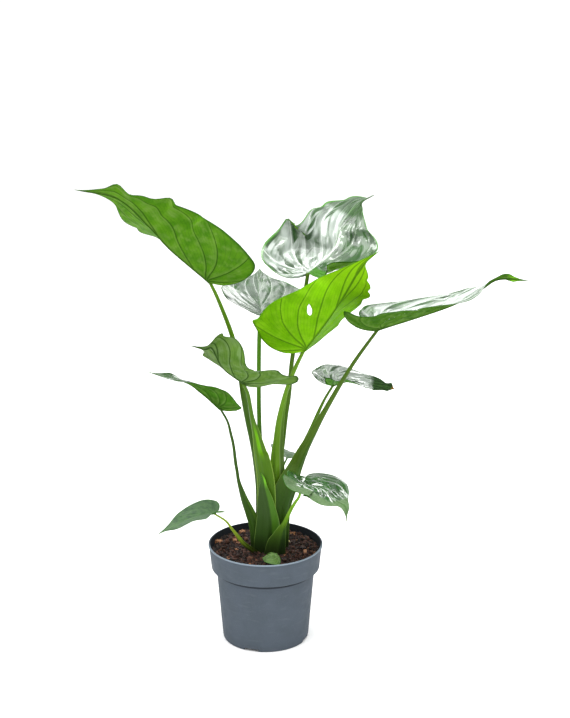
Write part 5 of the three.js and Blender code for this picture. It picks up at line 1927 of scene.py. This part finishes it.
@dataclass
class Studio:
    """The camera, the floor, the lights and the white surroundings, in metres."""

    camera_place: tuple[float, float, float] = (0.0325, -2.643, 1.291)
    camera_pitch: float = 16.96
    focal_pixels: float = 1717.0
    image_height: float = 718.0
    sensor: float = 36.0
    floor_half: float = 30.0
    floor_shade: str = "#fdfdfd"
    surroundings: float = 1.06
    softboxes: tuple[Softbox, ...] = (
        Softbox("ceiling softbox", (0.0, -0.5, 2.6), (0.0, -0.5, 0.4), (3.0, 3.0), 2.9),
        Softbox("overhead lamp", (0.0, -0.3, 2.3), (0.0, 0.0, 0.5), (0.7, 0.6), 9.0),
        Softbox("back panel", (0.95, 3.0, 1.35), (0.25, 0.0, 0.45), (1.1, 0.9), 4.0),
        Softbox("back lamp", (-0.9, 1.5, 1.9), (0.0, 0.0, 0.6), (0.9, 0.6), 5.0),
    )

    def camera(self) -> None:
        """Sets the camera at the photo's viewing angle."""
        lens = bpy.data.cameras.new("camera")
        lens.sensor_width = self.sensor
        lens.lens = self.focal_pixels / self.image_height * self.sensor
        lens.clip_end = 100.0
        eye = bpy.data.objects.new("camera", lens)
        eye.location = self.camera_place
        eye.rotation_euler = (math.radians(90 - self.camera_pitch), 0.0, 0.0)
        bpy.context.scene.collection.objects.link(eye)
        bpy.context.scene.camera = eye

    def floor(self) -> None:
        """Lays the plain pale floor."""
        half = self.floor_half
        mesh = bpy.data.meshes.new("floor")
        corners = [(-half, -half, 0), (half, -half, 0), (half, half, 0), (-half, half, 0)]
        mesh.from_pydata(corners, [], [(0, 1, 2, 3)])
        s = Surface("studio paper")
        material = s.close({"Base Color": linear(self.floor_shade), "Roughness": 0.9})
        mesh.materials.append(material)
        floor = bpy.data.objects.new("floor", mesh)
        bpy.context.scene.collection.objects.link(floor)

    def world(self) -> None:
        """Puts plain white light all round."""
        world = bpy.data.worlds.new("white room")
        nodes = NodeTree(world)
        lit = {"Color": (1.0, 1.0, 1.0, 1.0), "Strength": self.surroundings}
        nodes.add("OutputWorld", {"Surface": nodes.add("Background", lit)})
        bpy.context.scene.world = world

    def build(self) -> None:
        """Builds the whole studio."""
        self.camera()
        self.floor()
        self.world()
        for softbox in self.softboxes:
            softbox.build()
        bpy.context.scene.view_settings.view_transform = "Standard"


class Habit(Enum):
    """How a leaf has grown, which sets how deeply it is quilted."""

    QUILTED = "quilted"
    SMOOTH = "smooth"
    YOUNG = "young"


# How far a blade of each habit swells between its veins, in mm
QUILT = {Habit.QUILTED: 3.0, Habit.SMOOTH: 1.0, Habit.YOUNG: 0.7}


@dataclass(frozen=True)
class Look:
    """How one leaf is dressed.

    Attributes:
        habit: How it has grown.
        upper: The finish of its blade's upper face.
        under: The finish of its blade's under face.
        skin: The finish of its stalk.
        core_side: Where its stalk's core lies in the sheath, from -1 to 1.
        curl: How far its sheath bends round the clump.
        hole: The blade's hole as (along, across, half length, half width, turn),
            in mm and degrees, if it has one.
    """

    habit: Habit
    upper: WaxedFace
    under: BareFace
    skin: StalkSkin
    core_side: float = -0.6
    curl: float = 0.12
    hole: tuple[float, ...] = ()


LOOKS = {
    "upper_left": Look(
        Habit.SMOOTH,
        WaxedFace(),
        BareFace(green="#588c1b", deep="#427812", pale="#86a454", vein="#2a4c0e"),
        StalkSkin(core="#5c8214", dark="#416b0c", low="#2c4a0e", low_top=540.0, low_fade=150.0),
    ),
    "upper_back": Look(
        Habit.QUILTED,
        WaxedFace(edge="#3c7a12", edge_from=0.94, painted_silver="#b4beb6", painted_silver_left=0.75,
                  painted_silver_right=0.05, hollows=0.9, streaks=0.7, matt="#28421f", coat=0.85,
                  wrinkle=0.6, pleat=0.5, dull_from=0.62, dull_edge=0.94, dull_lobe=0.9,
                  lobe_to=20.0, dull_shine=0.2),
        BareFace(green="#86c832", deep="#74b428"),
        StalkSkin(core="#4a6c16", dark="#34500c"),
        core_side=0.5,
    ),
    "upper_centre": Look(
        Habit.SMOOTH,
        WaxedFace(),
        BareFace(green="#74b40e", deep="#62a20a", pale="#8fc42a", vein="#3f6a10", edge="#5a9410",
                 glow="#9fd014", tip="#8ccc12", tip_from=0.35, tip_fade=0.5),
        StalkSkin(core="#61871b", dark="#4e7614", wing="#425f1c", edge="#8fa860", seam=0.5),
        core_side=-0.3,
        hole=(61.0, -37.4, 11.0, 3.8, -46.0),
    ),
    "right": Look(
        Habit.QUILTED,
        WaxedFace(painted_silver="#b4beb6", painted_silver_left=0.7, painted_silver_right=0.7, hollows=0.9, streaks=0.8,
                  wrinkle=0.4, dull_from=0.85, matt="#4f8a1e", tip="#7cc02c", tip_from=0.87),
        BareFace(green="#49741d", deep="#356213", tip_from=0.86, tip="#86d024"),
        StalkSkin(core="#4b651a", dark="#355211", wing="#3a5a16", edge="#7c9c40", low="#28480c",
                  low_top=330.0, low_fade=90.0),
        core_side=0.7,
    ),
    "back": Look(
        Habit.SMOOTH,
        WaxedFace(painted_silver="#68726a", painted_silver_left=0.7, painted_silver_right=0.6, hollows=0.8, streaks=0.5,
                  coat=0.22, wrinkle=0.1, pleat=0.15),
        BareFace(),
        StalkSkin(core="#4f8017", dark="#3e6b10", low="#33580f", low_top=520.0, low_fade=200.0),
    ),
    "middle_left": Look(
        Habit.SMOOTH,
        WaxedFace(),
        BareFace(green="#638539", deep="#4c7028", pale="#8ca676", vein="#22400f", edge="#2f4f1c"),
        StalkSkin(core="#4d7016", dark="#3d6210", wing="#66a40e", edge="#8fae4a", low="#2c4a14",
                  wing_from=-0.3, wing_to=0.3, wing_low=350.0, rim=0.14),
        core_side=-0.75,
    ),
    "middle_right": Look(
        Habit.QUILTED,
        WaxedFace(painted_silver="#a8b2aa", painted_silver_left=0.7, painted_silver_right=0.7, hollows=0.9,
                  wrinkle=0.3, pleat=0.2, matt="#18300e", dull_from=0.58, dull_shine=0.0,
                  tip="#8a5a20", tip_from=0.93),
        BareFace(green="#4f8a2c", deep="#3c7420"),
        StalkSkin(core="#54781e", dark="#446416"),
    ),
    "lower_left": Look(
        Habit.QUILTED,
        WaxedFace(),
        BareFace(green="#467a1c", deep="#2f5a10"),
        StalkSkin(core="#355314", dark="#29460e", wing="#3c5b18", low="#2f4a18"),
        core_side=-0.7,
    ),
    "lower_right": Look(
        Habit.QUILTED,
        WaxedFace(green="#2f5a2a", deep="#183618", matt="#667e58", hollows=0.3, dull_edge=0.35,
                  dull_left=0.2, dull_from=0.55, dull_shine=0.05, tip="#8a7a30", tip_from=0.95),
        BareFace(green="#5a8a54", deep="#4a7a44"),
        StalkSkin(core="#76a022", dark="#5a8a1a", wing="#4a702a", low="#263a1c", low_top=242.0),
        core_side=0.4,
    ),
    "low_left": Look(
        Habit.SMOOTH,
        WaxedFace(green="#44643c", deep="#2f4c30", grain=9.0, roughness=0.42, coat=0.0, shine=0.3),
        BareFace(green="#4a7a3a", deep="#3a6a2a"),
        StalkSkin(core="#869a2c", dark="#6a801f", wing="#3f6418", low="#56701e"),
    ),
    "inner": Look(
        Habit.SMOOTH,
        WaxedFace(green="#3a5a34", deep="#284526", roughness=0.42, coat=0.0, shine=0.4),
        BareFace(),
        StalkSkin(),
    ),
    "seedling": Look(
        Habit.YOUNG,
        WaxedFace(green="#4a6c26", deep="#3a581a", vein="#7c9c58", roughness=0.45, coat=0.0,
                  shine=0.3),
        BareFace(),
        StalkSkin(core="#5d8c2c", dark="#4a7a22"),
    ),
}


@dataclass
class Clump:
    """The plant: every leaf, its stalk, the front sheath and the rootstock."""

    leaves: tuple[LeafShape, ...] = LEAVES
    sheath: tuple[tuple[float, ...], ...] = FRONT_SHEATH
    root_skin: StalkSkin = StalkSkin(core="#6b4a32", dark="#4a3222", low="#4a3222")
    sheath_skin: StalkSkin = StalkSkin(core="#426c1e", dark="#345a14", wing="#7cc82a",
                                       low="#2a4017", low_top=286.0, low_fade=24.0)
    first_seed: int = 21
    blade_rows: int = 120
    seedling_rows: int = 70

    def build(self) -> list[bpy.types.Object]:
        """Builds and dresses the plant.

        Returns:
            The pieces.
        """
        made = []
        for seed, shape in enumerate(self.leaves):
            look = LOOKS[shape.name]
            rows = self.seedling_rows if look.habit is Habit.YOUNG else self.blade_rows
            blade = Blade(shape, look.upper, look.under, seed + self.first_seed,
                          QUILT[look.habit], look.hole, rows)
            made.append(blade.build())
            stalk = Stalk(f"stalk_{shape.name}", f"petiole_{shape.name}", shape.stalk,
                          look.skin, look.core_side, look.curl)
            made.append(stalk.build())
        front = Stalk("stalk_front_sheath", "front_sheath", self.sheath, self.sheath_skin,
                      core_side=0.0, curl=-0.1)
        made.append(front.build())
        root = bpy.data.objects["corm"]
        root.data.materials.clear()
        root.data.materials.append(self.root_skin.material("rootstock skin"))
        return made


def main() -> None:
    """Builds the studio, the pot, the soil and the plant in order."""
    logging.basicConfig(level=logging.INFO, format="%(name)s: %(message)s")
    Studio().build()
    made = [Pot().build(), *Soil().build(), *Clump().build()]
    for piece in made:
        LOG.info("%s: %d faces", piece.name, len(piece.data.polygons))


if __name__ == "__main__":
    main()
